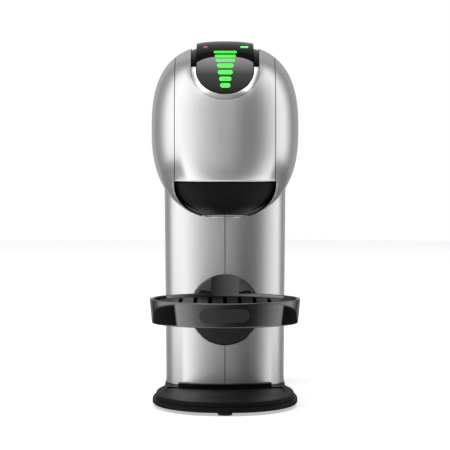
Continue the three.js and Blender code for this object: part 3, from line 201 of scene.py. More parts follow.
def prism(outline, axis, low, high):
    """An outline carried along Y (outline in X, Z) or Z (outline in X, Y)."""
    outline = np.asarray(outline, float)
    count = len(outline)
    ends = []
    for level in (low, high):
        ring = np.zeros((count, 3))
        ring[:, 0] = outline[:, 0]
        ring[:, 2 if axis == "Y" else 1] = outline[:, 1]
        ring[:, 1 if axis == "Y" else 2] = level
        ends.append(ring)
    faces = [(i, (i + 1) % count, (i + 1) % count + count, i + count) for i in range(count)]
    faces += [list(range(count))[::-1], list(range(count, 2 * count))]
    obj = mesh_object("tool", np.vstack(ends), faces)
    outward(obj)
    return obj


def arc(cx, cy, radius, start, end, steps=16):
    """Points of an arc, its angles in degrees."""
    angles = np.radians(np.linspace(start, end, steps))
    return [(cx + radius * math.cos(a), cy + radius * math.sin(a)) for a in angles]


def outward(obj):
    work = bmesh.new()
    work.from_mesh(obj.data)
    bmesh.ops.recalc_face_normals(work, faces=work.faces)
    if work.calc_volume(signed=True) < 0:
        bmesh.ops.reverse_faces(work, faces=work.faces)
    work.to_mesh(obj.data)
    work.free()


def rings_object(name, rings, cap=True):
    """A closed body through rings of equal length, its ends capped."""
    rings = np.asarray(rings, float)
    levels, count, _ = rings.shape
    faces = []
    for level in range(levels - 1):
        a, b = level * count, (level + 1) * count
        for i in range(count):
            j = (i + 1) % count
            faces.append((a + i, a + j, b + j, b + i))
    if cap:
        faces.append(list(range(count))[::-1])
        faces.append(list(range((levels - 1) * count, levels * count)))
    obj = mesh_object(name, rings.reshape(-1, 3), faces)
    outward(obj)
    return obj


def turned(name, profile, y=0.0, x=0.0, sides=128, closed=False):
    """A turned piece about a vertical axis, from (radius, height) pairs off the axis."""
    profile = list(profile)
    angles = np.linspace(0, 2 * math.pi, sides, endpoint=False)
    rings = [
        np.stack([x + r * np.cos(angles), y + r * np.sin(angles), np.full(sides, z)], 1)
        for r, z in profile
    ]
    if closed:
        rings.append(rings[0])
    obj = rings_object(name, rings, cap=not closed)
    if closed:
        weld(obj)
        outward(obj)
    return obj


def weld(obj, distance=1e-6):
    work = bmesh.new()
    work.from_mesh(obj.data)
    bmesh.ops.remove_doubles(work, verts=work.verts, dist=distance)
    work.to_mesh(obj.data)
    work.free()


def rounded(corners, radius, steps=4):
    """A (radius, height) profile with each inner corner rounded by an arc-like curve."""
    corners = [np.array(c, float) for c in corners]
    out = [corners[0]]
    for before, corner, after in zip(corners, corners[1:], corners[2:]):
        a, b = before - corner, after - corner
        reach = min(radius, 0.45 * np.linalg.norm(a), 0.45 * np.linalg.norm(b))
        start = corner + a / np.linalg.norm(a) * reach
        end = corner + b / np.linalg.norm(b) * reach
        for i in range(steps + 1):
            t = i / steps
            out.append((1 - t) ** 2 * start + 2 * t * (1 - t) * corner + t**2 * end)
    out.append(corners[-1])
    return out


def rounded_loop(corners, radius, steps=4):
    """A closed profile with every corner rounded."""
    looped = [corners[-1], *corners, corners[0]]
    return rounded(looped, radius, steps)[1:-1]


# ------------------------------------------------------------------ the head's form
def nose_reach(y, inset):
    return np.clip((HEAD_WIDEST_Y - y) / (HEAD_NOSE - inset), 0, 1)


def section(y, inset=0.0):
    """Half width, height above and height below the middle of the head's section at y."""
    y = np.asarray(y, float)
    width, height = HEAD_HALF_WIDTH - inset, HEAD_HALF_HEIGHT - inset
    reach = nose_reach(y, inset)
    scale = (1 - reach**NOSE_POWER) ** (1 / NOSE_POWER)
    chin = (1 - reach**CHIN_POWER) ** (1 / CHIN_POWER)
    along = np.clip((y - HEAD_WIDEST_Y) / (HEAD_REAR_Y - HEAD_WIDEST_Y), 0, None)
    narrow, drop = HEAD_REAR_NARROWING * along**2, HEAD_REAR_DROP * along**2
    return width * scale - narrow, height * scale - drop, height * chin - drop


def head_value(x, y, z, inset=0.0):
    """Under 1 inside the head, over 1 outside it."""
    width, up, down = section(y, inset)
    width, up, down = (np.maximum(v, 1e-6) for v in (width, up, down))
    rise = z - HEAD_MIDDLE_Z
    power = np.where(rise >= 0, HEAD_POWER_UP, HEAD_POWER_DOWN)
    height = np.where(rise >= 0, up, down)
    return ((np.abs(x) / width) ** power + (np.abs(rise) / height) ** power) ** (1 / power)


def head_rings(inset, beyond, sides, nose_steps=44, rear_steps=6):
    angles = np.linspace(0, 2 * math.pi, sides, endpoint=False)
    cosine, sine = np.cos(angles), np.sin(angles)
    power = np.where(sine >= 0, 2 / HEAD_POWER_UP, 2 / HEAD_POWER_DOWN)
    across = np.sign(cosine) * np.abs(cosine) ** power
    along = np.sign(sine) * np.abs(sine) ** power
    reach = np.cos(np.linspace(0.03, math.pi / 2, nose_steps))
    stations = list(HEAD_WIDEST_Y - (HEAD_NOSE - inset) * reach)
    stations += list(np.linspace(HEAD_WIDEST_Y, HEAD_REAR_Y, rear_steps + 1)[1:])
    if beyond:
        stations.append(HEAD_REAR_Y + beyond)
    rings = []
    for y in stations:
        width, up, down = section(y, inset)
        rise = np.where(sine >= 0, up, down)
        rings.append(np.stack([width * across, np.full(sides, y), HEAD_MIDDLE_Z + rise * along], 1))
    return rings


def head(inset=0.0, beyond=0.0, sides=120):
    return rings_object("head", head_rings(inset, beyond, sides))


def head_front(x, z, inset=0.0):
    """Y of the head's front surface at x, z."""
    x, z = np.broadcast_arrays(np.asarray(x, float), np.asarray(z, float))
    low = np.full(x.shape, HEAD_WIDEST_Y - HEAD_NOSE + inset)
    high = np.full(x.shape, HEAD_WIDEST_Y + 60.0)
    for _ in range(48):
        middle = (low + high) / 2
        outside = head_value(x, middle, z, inset) > 1
        low = np.where(outside, middle, low)
        high = np.where(outside, high, middle)
    return (low + high) / 2


# ------------------------------------------------------------------ the column's form
def column_plan(inset, rear_y, steps=72):
    """The column's outline: a rounded front and straight sides back to rear_y."""
    middle = COLUMN_FRONT_Y + COLUMN_ROUND_DEPTH
    angles = np.linspace(math.pi, 0, steps)
    power = 2 / COLUMN_POWER
    x = (COLUMN_HALF_WIDTH - inset) * np.sign(np.cos(angles)) * np.abs(np.cos(angles)) ** power
    y = middle - (COLUMN_ROUND_DEPTH - inset) * np.sin(angles) ** power
    front = np.stack([x, y], 1)
    rear = [(COLUMN_HALF_WIDTH - inset, rear_y), (-(COLUMN_HALF_WIDTH - inset), rear_y)]
    return np.vstack([front, rear])


def column_scale(z):
    """The share of its width that the column keeps at z."""
    return 1 - COLUMN_FOOT_TAPER * (COLUMN_TOP_Z - z) / (COLUMN_TOP_Z - COLUMN_BOTTOM_Z)


def column(inset, low, high, rear_y):
    plan = column_plan(inset, rear_y)
    rings = []
    for z in (low, high):
        rings.append(np.stack([plan[:, 0] * column_scale(z), plan[:, 1], np.full(len(plan), z)], 1))
    return rings_object("column", rings)


def column_value(x, y, z, inset=0.0):
    """Under 1 inside the column, over 1 outside it."""
    across = np.abs(x) / ((COLUMN_HALF_WIDTH - inset) * column_scale(z))
    ahead = np.clip(COLUMN_FRONT_Y + COLUMN_ROUND_DEPTH - y, 0, None) / (COLUMN_ROUND_DEPTH - inset)
    return (across**COLUMN_POWER + ahead**COLUMN_POWER) ** (1 / COLUMN_POWER)


# ------------------------------------------------------------------ exact normals
def form_normal(value, points):
    """Unit normals of a form at points, by differences of its value."""
    step = 0.02
    gradient = np.zeros_like(points)
    for axis in range(3):
        ahead, behind = points.copy(), points.copy()
        ahead[:, axis] += step
        behind[:, axis] -= step
        gradient[:, axis] = value(*ahead.T) - value(*behind.T)
    length = np.linalg.norm(gradient, axis=1, keepdims=True)
    return gradient / np.maximum(length, 1e-12)


def on_head(inset, sign=1):
    return (lambda x, y, z: head_value(x, y, z, inset)), sign


def on_column(inset, sign=1):
    return (lambda x, y, z: column_value(x, y, z, inset)), sign


def true_normals(obj, surfaces, tolerance=0.004):
    """Gives the faces that lie on a known surface that surface's exact normals.

    surfaces is a list of (value function, sign); the sign is -1 where the surface is an inner one."""
    mesh = obj.data
    points = np.empty(len(mesh.vertices) * 3)
    mesh.vertices.foreach_get("co", points)
    points = points.reshape(-1, 3) / MM
    corner_vertex = np.empty(len(mesh.loops), int)
    mesh.loops.foreach_get("vertex_index", corner_vertex)
    starts = np.array([p.loop_start for p in mesh.polygons])
    totals = np.array([p.loop_total for p in mesh.polygons])
    face_of_corner = np.repeat(np.arange(len(starts)), totals)
    flat = np.array([p.normal[:] for p in mesh.polygons])
    normals = flat[face_of_corner].copy()
    taken = np.zeros(len(starts), bool)
    for value, sign in surfaces:
        on = np.abs(value(*points.T) - 1) < tolerance
        full = np.ones(len(starts), bool)
        np.logical_and.at(full, face_of_corner, on[corner_vertex])
        exact = form_normal(value, points) * sign
        agree = np.ones(len(starts), bool)
        facing = np.einsum("ij,ij->i", exact[corner_vertex], flat[face_of_corner]) > 0.7
        np.logical_and.at(agree, face_of_corner, facing)
        chosen = full & agree & ~taken
        corners = chosen[face_of_corner]
        normals[corners] = exact[corner_vertex[corners]]
        taken |= chosen
    mesh.shade_smooth()
    mesh.normals_split_custom_set(normals.tolist())


# ------------------------------------------------------------------ materials
def node_material(name):
    material = bpy.data.materials.new(name)
    material.use_nodes = True
    return material, material.node_tree.nodes, material.node_tree.links


def finish_of(name, color, roughness, metallic=0.0, grain=2500, height=0.004, tone=0.05,
              spread=0.05, tone_scale=35, stretch=(1, 1, 1), sockets=None, fleck=0.0):
    """A moulded, cast or drawn surface: grain in the bump, soft unevenness in colour and gloss."""
    material, nodes, links = node_material(name)
    shader = nodes["Principled BSDF"]
    shader.inputs["Metallic"].default_value = metallic
    for key, value in (sockets or {}).items():
        shader.inputs[key].default_value = value
    coordinates = nodes.new("ShaderNodeTexCoord")
    scale = nodes.new("ShaderNodeMapping")
    scale.inputs["Scale"].default_value = stretch
    links.new(coordinates.outputs["Object"], scale.inputs["Vector"])
    fine = nodes.new("ShaderNodeTexNoise")
    fine.inputs["Scale"].default_value = grain
    fine.inputs["Detail"].default_value = 3
    broad = nodes.new("ShaderNodeTexNoise")
    broad.inputs["Scale"].default_value = tone_scale
    broad.inputs["Detail"].default_value = 5
    for texture in (fine, broad):
        links.new(scale.outputs["Vector"], texture.inputs["Vector"])
    bump = nodes.new("ShaderNodeBump")
    bump.inputs["Distance"].default_value = height * MM
    bump.inputs["Strength"].default_value = 1.0
    links.new(fine.outputs["Fac"], bump.inputs["Height"])
    links.new(bump.outputs["Normal"], shader.inputs["Normal"])
    gloss = nodes.new("ShaderNodeMapRange")
    gloss.inputs["From Min"].default_value = 0.3
    gloss.inputs["From Max"].default_value = 0.7
    gloss.inputs["To Min"].default_value = max(roughness - spread / 2, 0.02)
    gloss.inputs["To Max"].default_value = roughness + spread / 2
    links.new(broad.outputs["Fac"], gloss.inputs["Value"])
    links.new(gloss.outputs["Result"], shader.inputs["Roughness"])
    ramp = nodes.new("ShaderNodeValToRGB")
    ramp.color_ramp.elements[0].position = 0.3
    ramp.color_ramp.elements[1].position = 0.7
    ramp.color_ramp.elements[0].color = (*[c * (1 - tone) for c in color], 1)
    ramp.color_ramp.elements[1].color = (*[min(c * (1 + tone), 1) for c in color], 1)
    source = broad
    if fleck:
        source = nodes.new("ShaderNodeMixRGB")
        source.inputs["Fac"].default_value = fleck
        links.new(broad.outputs["Fac"], source.inputs["Color1"])
        links.new(fine.outputs["Fac"], source.inputs["Color2"])
    links.new(source.outputs["Color" if fleck else "Fac"], ramp.inputs["Fac"])
    links.new(ramp.outputs["Color"], shader.inputs["Base Color"])
    return material


def glow_of(name, color, strength):
    material = finish_of(name, color, 0.3, grain=900, height=0.002, tone=0.12, tone_scale=220)
    shader = material.node_tree.nodes["Principled BSDF"]
    shader.inputs["Emission Color"].default_value = (*color, 1)
    shader.inputs["Emission Strength"].default_value = strength
    return material


SILVER = (0.66, 0.66, 0.67)
FINISHES = {
    "silver_body": finish_of("silver_body", SILVER, 0.24, 0.78, 2600, 0.00025, 0.02, 0.02, fleck=0.6),
    "silver_trim": finish_of("silver_trim", (0.62, 0.62, 0.63), 0.2, 1.0, 2600, 0.0004, 0.02, 0.03),
    "black_satin": finish_of("black_satin", (0.008, 0.008, 0.009), 0.4, 0.0, 1900, 0.006, 0.12, 0.08,
                             sockets={"Specular IOR Level": 0.03}),
    "black_gloss": finish_of("black_gloss", (0.003, 0.003, 0.0033), 0.04, 0.0, 700, 0.0003, 0.1, 0.03,
                             sockets={"IOR": 2.1}),
    "display_glass": finish_of("display_glass", (0.003, 0.003, 0.0033), 0.05, 0.0, 500, 0.0003, 0.1, 0.03,
                               sockets={"Specular IOR Level": 0.07}),
    "light": glow_of("light", (0.02, 0.72, 0.02), 0.85),
    "dark_frame": finish_of("dark_frame", (0.04, 0.041, 0.045), 0.5, 0.0, 1200, 0.02, 0.15, 0.1),
    "steel": finish_of("steel", (0.55, 0.56, 0.57), 0.28, 1.0, 900, 0.006, 0.05, 0.1, stretch=(1, 1, 0.05)),
    "heater_block": finish_of("heater_block", (0.6, 0.61, 0.62), 0.5, 1.0, 700, 0.03, 0.1, 0.15),
    "circuit_board": finish_of("circuit_board", (0.02, 0.16, 0.07), 0.4, 0.0, 400, 0.01, 0.3, 0.1),
    "rubber": finish_of("rubber", (0.022, 0.022, 0.022), 0.75, 0.0, 1500, 0.03, 0.2, 0.1),
    "silicone": finish_of("silicone", (0.7, 0.68, 0.62), 0.45, 0.0, 800, 0.008, 0.05, 0.1,
                          sockets={"Subsurface Weight": 0.2}),
    "tank_smoke": finish_of("tank_smoke", (0.28, 0.3, 0.32), 0.06, 0.0, 300, 0.0, 0.03, 0.02,
                            sockets={"Transmission Weight": 0.9, "IOR": 1.49}),
}
BADGE = finish_of("badge_face", (0.02, 0.02, 0.022), 0.25, 0.0, 1800, 0.003, 0.15, 0.08)
MARK_RED = glow_of("mark_red", (0.5, 0.03, 0.03), 0.25)
MARK_GREEN = glow_of("mark_green", (0.1, 0.8, 0.1), 0.7)

slot_of = {s["node"]: s["material_slot"] for s in frame["record"]["subparts"]}
for node, obj in frame["nodes"].items():
    obj.data.materials.clear()
    obj.data.materials.append(FINISHES[slot_of[node]])
    obj.data.shade_smooth()
    obj.data.set_sharp_from_angle(angle=math.radians(32))


def place(obj, name, body, slot, nodes=(), material=None):
    """Names a finished piece, gives it its finish, ties it to its body and hides its CAD nodes."""
    obj.name = name
    obj.data.name = name
    obj.data.materials.clear()
    obj.data.materials.append(material or FINISHES[slot])
    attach(obj, body)
    if nodes:
        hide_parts(*nodes)


# ------------------------------------------------------------------ shells
FAR = 400.0
ABOVE = 330.0
SEAM_WALL = 2.0
SEAM_WALL_BOTTOM_Z = MOUTH_TOP_Z + 3.1
MOUTH_REAR_Y = -44.0
OUTLET_SLOT_REAR_Y = -58.0


def mouth_outline(grow, top, steps=40):
    """The mouth's outline in X, Z, closed straight across at the height top."""
    angles = np.linspace(0, math.pi / 2, steps)
    x = MOUTH_FLAT + grow + (MOUTH_HALF_WIDTH - MOUTH_FLAT) * np.sin(angles) ** MOUTH_POWER
    z = MOUTH_BOTTOM_Z - grow + (MOUTH_ROUND_Z - MOUTH_BOTTOM_Z) * (1 - np.cos(angles))
    side = [*zip(x, z), (MOUTH_HALF_WIDTH + grow, top)]
    return side + [(-a, b) for a, b in side[::-1]]


def wide(half, y, z):
    """A block centred across the machine."""
    return block((-half, half), y, z)


def shells():
    """Both halves of the head and column, with the walls beside the handle."""
    outer = union(head(0), column(0, COLUMN_BOTTOM_Z, COLUMN_TOP_Z, HEAD_REAR_Y))
    inner = union(head(HEAD_WALL, 10), column(COLUMN_WALL, 0, COLUMN_TOP_Z, HEAD_REAR_Y + 10))
    slabs = union(
        block((SEAM_HALF, SEAM_HALF + SEAM_WALL), (-FAR, HEAD_REAR_Y), (SEAM_WALL_BOTTOM_Z, FAR)),
        block((-SEAM_HALF - SEAM_WALL, -SEAM_HALF), (-FAR, HEAD_REAR_Y), (SEAM_WALL_BOTTOM_Z, FAR)),
    )
    whole = union(cut(outer, inner), common(slabs, head(HEAD_WALL / 2)))
    cut(
        whole,
        wide(SEAM_HALF, (-FAR, FAR), (REAR_COVER_Z, FAR)),
        wide(SEAM_HALF, (-FAR, 0), (MOUTH_TOP_Z, FAR)),
        prism(mouth_outline(0, MOUTH_TOP_Z + 0.1), "Y", -FAR, MOUTH_REAR_Y),
        wide(MOUTH_FLAT + 1, (-FAR, OUTLET_SLOT_REAR_Y), (0, HEAD_MIDDLE_Z)),
    )
    for name, sign in (("shell_left", -1), ("shell_right", 1)):
        half = copied(whole)
        side = sorted((sign * COLUMN_SLOT / 2, sign * FAR))
        common(half, block(side, (-FAR, FAR), (-FAR, FAR)))
        true_normals(half, [on_head(0), on_column(0), on_head(HEAD_WALL, -1), on_column(COLUMN_WALL, -1)])
        place(half, name + "_skin", "base", "silver_body", [name])
    bpy.data.objects.remove(whole)


LIP_RADIUS = 0.5


def bead(name, points, body, slot):
    """A thin round lip along a line of points in millimetres."""
    curve = bpy.data.curves.new(name, "CURVE")
    curve.dimensions = "3D"
    curve.bevel_depth = LIP_RADIUS * MM
    curve.bevel_resolution = 3
    spline = curve.splines.new("POLY")
    spline.points.add(len(points) - 1)
    for target, point in zip(spline.points, points):
        target.co = (*(np.asarray(point, float) * MM), 1)
    curve.use_fill_caps = True
    temporary = linked(name, curve)
    graph = bpy.context.evaluated_depsgraph_get()
    mesh = bpy.data.meshes.new_from_object(temporary.evaluated_get(graph))
    bpy.data.objects.remove(temporary)
    obj = linked(name, mesh)
    mesh.shade_smooth()
    place(obj, name, body, slot)


def mouth_lips():
    for name, sign in (("mouth_lip_left", -1), ("mouth_lip_right", 1)):
        side = [(sign * x, z) for x, z in mouth_outline(0.35, MOUTH_TOP_Z - 0.8)[2:41]]
        x, z = np.array([p for p in side if abs(p[0]) > MOUTH_FLAT + 1.8]).T
        y = head_front(x, z, 0.2)
        bead(name, np.stack([x, y, z], 1), "base", "silver_body")


def pivot_drum(radius, half_width, sides=180):
    """A cylinder across the head, about the handle's pivot."""
    angles = np.linspace(0, 2 * math.pi, sides, endpoint=False)
    y, z = PIVOT_Y + radius * np.cos(angles), PIVOT_Z + radius * np.sin(angles)
    return rings_object("drum", [np.stack([np.full(sides, x), y, z], 1) for x in (-half_width, half_width)])


HANDLE_UNDERCUT_Y = -38.0


def handle():
    front = wide(HANDLE_HALF_WIDTH, (-FAR, PIVOT_Y), (PANEL_BOTTOM_Z, FAR))
    blank = union(front, pivot_drum(PIVOT_SWEEP, HANDLE_HALF_WIDTH))
    cut(blank, block((-FAR, FAR), (HANDLE_UNDERCUT_Y, FAR), (0, PIVOT_Z + 10)))
    shell = common(cut(head(0, 0, 200), head(HANDLE_SKIN, 10)), blank)
    cut(shell, display_prism(BEZEL_WIDTH + GAP))
    true_normals(shell, [on_head(0), on_head(HANDLE_SKIN, -1)])
    place(shell, "handle_skin", "handle", "silver_body", ["handle_shell"])
    x = np.linspace(-HANDLE_HALF_WIDTH + 0.6, HANDLE_HALF_WIDTH - 0.6, 80)
    z = np.full_like(x, PANEL_BOTTOM_Z + 0.55)
    bead("handle_lip", np.stack([x, head_front(x, z, 0.15), z], 1), "handle", "silver_body")


def rear_cover():
    half = HANDLE_HALF_WIDTH
    cover = common(head(0), wide(half, (PIVOT_Y, HEAD_REAR_Y), (REAR_COVER_Z + GAP, FAR)))
    inside = common(head(HEAD_WALL), wide(half - 2, (0, HEAD_REAR_Y - HEAD_WALL), (0, FAR)))
    cut(cover, inside, pivot_drum(PIVOT_SWEEP + 2 * GAP, 60))
    true_normals(cover, [on_head(0)])
    place(cover, "rear_cover_skin", "base", "silver_body", ["rear_top_cover"])


# ------------------------------------------------------------------ display
GLASS_DEPTH = 4.2
BEZEL_FLOOR = GLASS_DEPTH + 0.9 + 2 * GAP
BEZEL_INSET = 0.2
BEZEL_BASE = BEZEL_FLOOR + 2
SHOULDER_INSET = 1.0
SHOULDER_Z = 252.6


def display_outline(grow, steps=48):
    half = DISPLAY_HALF_WIDTH + grow
    drop = DISPLAY_SHOULDER_Z - DISPLAY_BOTTOM_Z + grow
    angles = np.linspace(math.pi, 2 * math.pi, steps)
    curve = [(half * math.cos(a), DISPLAY_SHOULDER_Z + drop * math.sin(a)) for a in angles]
    return [(half, ABOVE), (-half, ABOVE), *curve]


def display_prism(grow):
    return prism(display_outline(grow), "Y", -FAR, DISPLAY_REAR_Y + grow)


def display_layer(grow, outer, inner):
    """The head's skin between two insets, inside the display's outline."""
    return common(cut(head(outer), head(inner, 10)), display_prism(grow))


def facet_y(z):
    (y0, z0), (y1, z1) = FACET_LOW, FACET_HIGH
    return y0 + (z - z0) * (y1 - y0) / (z1 - z0)


def facet_tool():
    """Everything in front of the flat facet's plane."""
    low, high = 200.0, 300.0
    profile = [(facet_y(low), low), (facet_y(high), high), (-FAR, high), (-FAR, low)]
    rings = [[(x, y, z) for y, z in profile] for x in (-60, 60)]
    return rings_object("facet", rings)


def glass_front(x, z):
    return np.maximum(head_front(x, z, -DISPLAY_PROUD), facet_y(z))


def slab(front, thickness):
    """A closed plate from a grid of front points, its back set in by thickness along Y."""
    rows_n, columns, _ = front.shape
    back = front + np.array([0, thickness, 0])
    points = np.vstack([front.reshape(-1, 3), back.reshape(-1, 3)])
    offset = rows_n * columns
    faces = []
    for r in range(rows_n - 1):
        for c in range(columns - 1):
            a = r * columns + c
            faces.append((a, a + 1, a + columns + 1, a + columns))
            faces.append((offset + a, offset + a + columns, offset + a + columns + 1, offset + a + 1))
    edge = list(range(columns))
    edge += [r * columns + columns - 1 for r in range(1, rows_n)]
    edge += [(rows_n - 1) * columns + c for c in range(columns - 2, -1, -1)]
    edge += [r * columns for r in range(rows_n - 2, 0, -1)]
    faces += [(b, a, offset + a, offset + b) for a, b in zip(edge, edge[1:] + edge[:1])]
    return points, faces


def decal(rows, proud, thickness, columns=18):
    """A thin closed plate that lies on the display's front. rows are (z, half width, middle x)."""
    across = np.linspace(-1, 1, columns)
    front = []
    for z, half, middle in rows:
        x = middle + half * across
        front.append(np.stack([x, glass_front(x, np.full_like(x, z)) - proud, np.full_like(x, z)], 1))
    return slab(np.array(front), thickness)


def pill_rows(middle_x, middle_z, half_width, half_height, steps=9):
    """Rows for a plate with round ends."""
    rows = []
    for t in np.linspace(-1, 1, steps):
        rise = half_height * math.sin(t * math.pi / 2)
        inner = half_width - half_height
        rows.append((middle_z + rise, inner + half_height * max(math.cos(t * math.pi / 2), 0.02), middle_x))
    return rows


def plates(name, all_rows, slot, material=None, proud=0.12, thickness=0.2, nodes=()):
    """One piece made of several thin plates on the display's front."""
    points, faces = [], []
    for rows in all_rows:
        p, f = decal(rows, proud, thickness)
        faces += [tuple(i + len(points) for i in face) for face in f]
        points += p.tolist()
    obj = mesh_object(name, points, faces)
    outward(obj)
    smooth(obj)
    place(obj, name, "handle", slot, nodes, material)


FACET_FACE_BOTTOM = DISPLAY_BOTTOM_Z + 0.7


def painted_reflection_facet():
    """Smoked glass whose colour carries a painted reflection: lighter towards its upper edge, where the
    tilted facet mirrors the light overhead.
    """
    material = finish_of("facet_glass_painted_reflection", (0.02, 0.02, 0.021), 0.12, 0.0, 500, 0.0003, 0.05, 0.03,
                         sockets={"Specular IOR Level": 0.06})
    nodes, links = material.node_tree.nodes, material.node_tree.links
    coordinates = nodes.new("ShaderNodeTexCoord")
    split = nodes.new("ShaderNodeSeparateXYZ")
    rise = nodes.new("ShaderNodeMapRange")
    rise.inputs["From Min"].default_value = FACET_FACE_BOTTOM * MM
    rise.inputs["From Max"].default_value = FACET_HIGH[1] * MM
    # Painted reflection: the base colour runs from near black at the facet's bottom to grey at its top.
    painted_reflection_ramp = nodes.new("ShaderNodeValToRGB")
    painted_reflection_ramp.color_ramp.elements[0].color = (0.006, 0.006, 0.006, 1)
    painted_reflection_ramp.color_ramp.elements[1].color = (0.24, 0.24, 0.25, 1)
    middle = painted_reflection_ramp.color_ramp.elements.new(0.55)
    middle.color = (0.045, 0.045, 0.047, 1)
    links.new(coordinates.outputs["Object"], split.inputs["Vector"])
    links.new(split.outputs["Z"], rise.inputs["Value"])
    links.new(rise.outputs["Result"], painted_reflection_ramp.inputs["Fac"])
    links.new(painted_reflection_ramp.outputs["Color"], nodes["Principled BSDF"].inputs["Base Color"])
    return material


def facet_edge(x):
    """Height at which the flat facet runs out into the crown, at x."""
    low, high = DISPLAY_BOTTOM_Z + 8.0, 275.0
    for _ in range(40):
        middle = (low + high) / 2
        if facet_y(middle) > head_front(x, middle, -DISPLAY_PROUD):
            low = middle
        else:
            high = middle
    return low


def facet_plate():
    """The lens that lies on the flat facet, inside its edges."""
    columns, rows_n = 49, 25
    half = DISPLAY_HALF_WIDTH - 0.5
    drop = DISPLAY_SHOULDER_Z - FACET_FACE_BOTTOM
    front = np.zeros((rows_n, columns, 3))
    for c, x in enumerate(half * np.sin(np.linspace(-math.pi / 2, math.pi / 2, columns))):
        low = DISPLAY_SHOULDER_Z - drop * math.sqrt(max(1 - (x / half) ** 2, 0)) + 0.02
        high = max(facet_edge(x) - 0.35, low + 0.05)
        z = np.linspace(low, high, rows_n)
        front[:, c] = np.stack([np.full(rows_n, x), facet_y(z) - 0.06, z], 1)
    points, faces = slab(front, 0.12)
    plate = mesh_object("facet", points, faces)
    outward(plate)
    smooth(plate)
    # The lens's colour carries a painted reflection of the overhead light.
    place(plate, "display_lens", "handle", "display_glass", material=painted_reflection_facet())


# each lit bar's middle in z, its width and its height
BARS = [(263.6, 16.8, 1.8), (260.6, 15.3, 1.8), (257.4, 13.9, 1.9), (253.5, 11.9, 2.9), (248.6, 10.8, 3.0),
        (243.8, 8.9, 3.0), (239.0, 7.4, 3.2)]


def crown_mark(x, width):
    """A small lit mark on top of the crown, as rows for a plate."""
    return [(z, width / 2, x) for z in (266.9, 267.6, 268.3)]


def display():
    glass = cut(display_layer(0, -DISPLAY_PROUD, GLASS_DEPTH), facet_tool())
    true_normals(glass, [on_head(-DISPLAY_PROUD), on_head(GLASS_DEPTH, -1)])
    place(glass, "display_cover", "handle", "display_glass", ["display_glass"])
    bezel = display_layer(BEZEL_WIDTH, BEZEL_INSET, BEZEL_BASE)
    cut(bezel, display_layer(GAP, -DISPLAY_PROUD, BEZEL_FLOOR))
    shoulders = copied(bezel)
    cut(bezel, block((-FAR, FAR), (-FAR, FAR), (SHOULDER_Z, FAR)))
    true_normals(bezel, [on_head(BEZEL_INSET), on_head(BEZEL_BASE, -1)])
    place(bezel, "display_bezel_ring", "handle", "silver_trim", ["display_bezel"])
    above = cut(head(0, 10), head(SHOULDER_INSET))
    cut(shoulders, block((-FAR, FAR), (-FAR, FAR), (0, SHOULDER_Z + 0.1)), above)
    true_normals(shoulders, [on_head(SHOULDER_INSET), on_head(BEZEL_BASE, -1)])
    place(shoulders, "display_shoulders", "handle", "display_glass", ["display_bezel"])
    facet_plate()
    bars = [pill_rows(0.2, z, width / 2, height / 2) for z, width, height in BARS]
    plates("display_bars", bars, "light", nodes=["light_guide"])
    plates("mark_green", [crown_mark(14.2, 5.6)], "display_glass", MARK_GREEN)
    plates("mark_red", [crown_mark(-14.4, 3.0)], "display_glass", MARK_RED)


# ------------------------------------------------------------------ cup support
RING_LEDGE = 2.0


def ring_profile():
    foot_inner = RING_FOOT_RADIUS - RING_WALL
    rim_inner = RING_RADIUS - RING_WALL
    ledge = RING_BOTTOM_Z + RING_LEDGE
    corners = [
        (foot_inner - 8, RING_BOTTOM_Z), (RING_FOOT_RADIUS, RING_BOTTOM_Z), (RING_RADIUS, RING_TOP_Z),
        (rim_inner, RING_TOP_Z), (foot_inner, ledge), (foot_inner - 8, ledge),
    ]
    return rounded_loop(corners, 0.9, 5)


def cylinder_y(radius, y, z, sides=128, edge=1.0):
    """A disc along Y at x = 0, its front edge rounded."""
    angles = np.linspace(0, 2 * math.pi, sides, endpoint=False)
    rings = []
    for t in np.linspace(0, math.pi / 2, 6):
        r, ahead = radius - edge * (1 - math.sin(t)), y[0] + edge * (1 - math.cos(t))
        rings.append(np.stack([r * np.cos(angles), np.full(sides, ahead), z + r * np.sin(angles)], 1))
    rings.append(np.stack([radius * np.cos(angles), np.full(sides, y[1]), z + radius * np.sin(angles)], 1))
    return rings_object("disc", rings)


def pill_outline(length, height, middle_z, steps=24):
    radius, half = height / 2, (length - height) / 2
    right = [(half + radius * math.cos(a), middle_z + radius * math.sin(a))
             for a in np.linspace(-math.pi / 2, math.pi / 2, steps)]
    return right + [(-x, z) for x, z in right[::-1]]


def ring_solid(grow):
    foot, rim = RING_FOOT_RADIUS + grow, RING_RADIUS + grow
    profile = [(0.01, RING_BOTTOM_Z), (foot, RING_BOTTOM_Z), (rim, RING_TOP_Z), (0.01, RING_TOP_Z)]
    return turned("solid", profile, RING_Y, sides=240)


BADGE_LENGTH = 36.0
BADGE_HEIGHT = 10.0
BADGE_MIDDLE_Z = (RING_TOP_Z + RING_BOTTOM_Z) / 2
BADGE_POCKET = 1.0
BADGE_PROUD = (-0.7, -0.05)


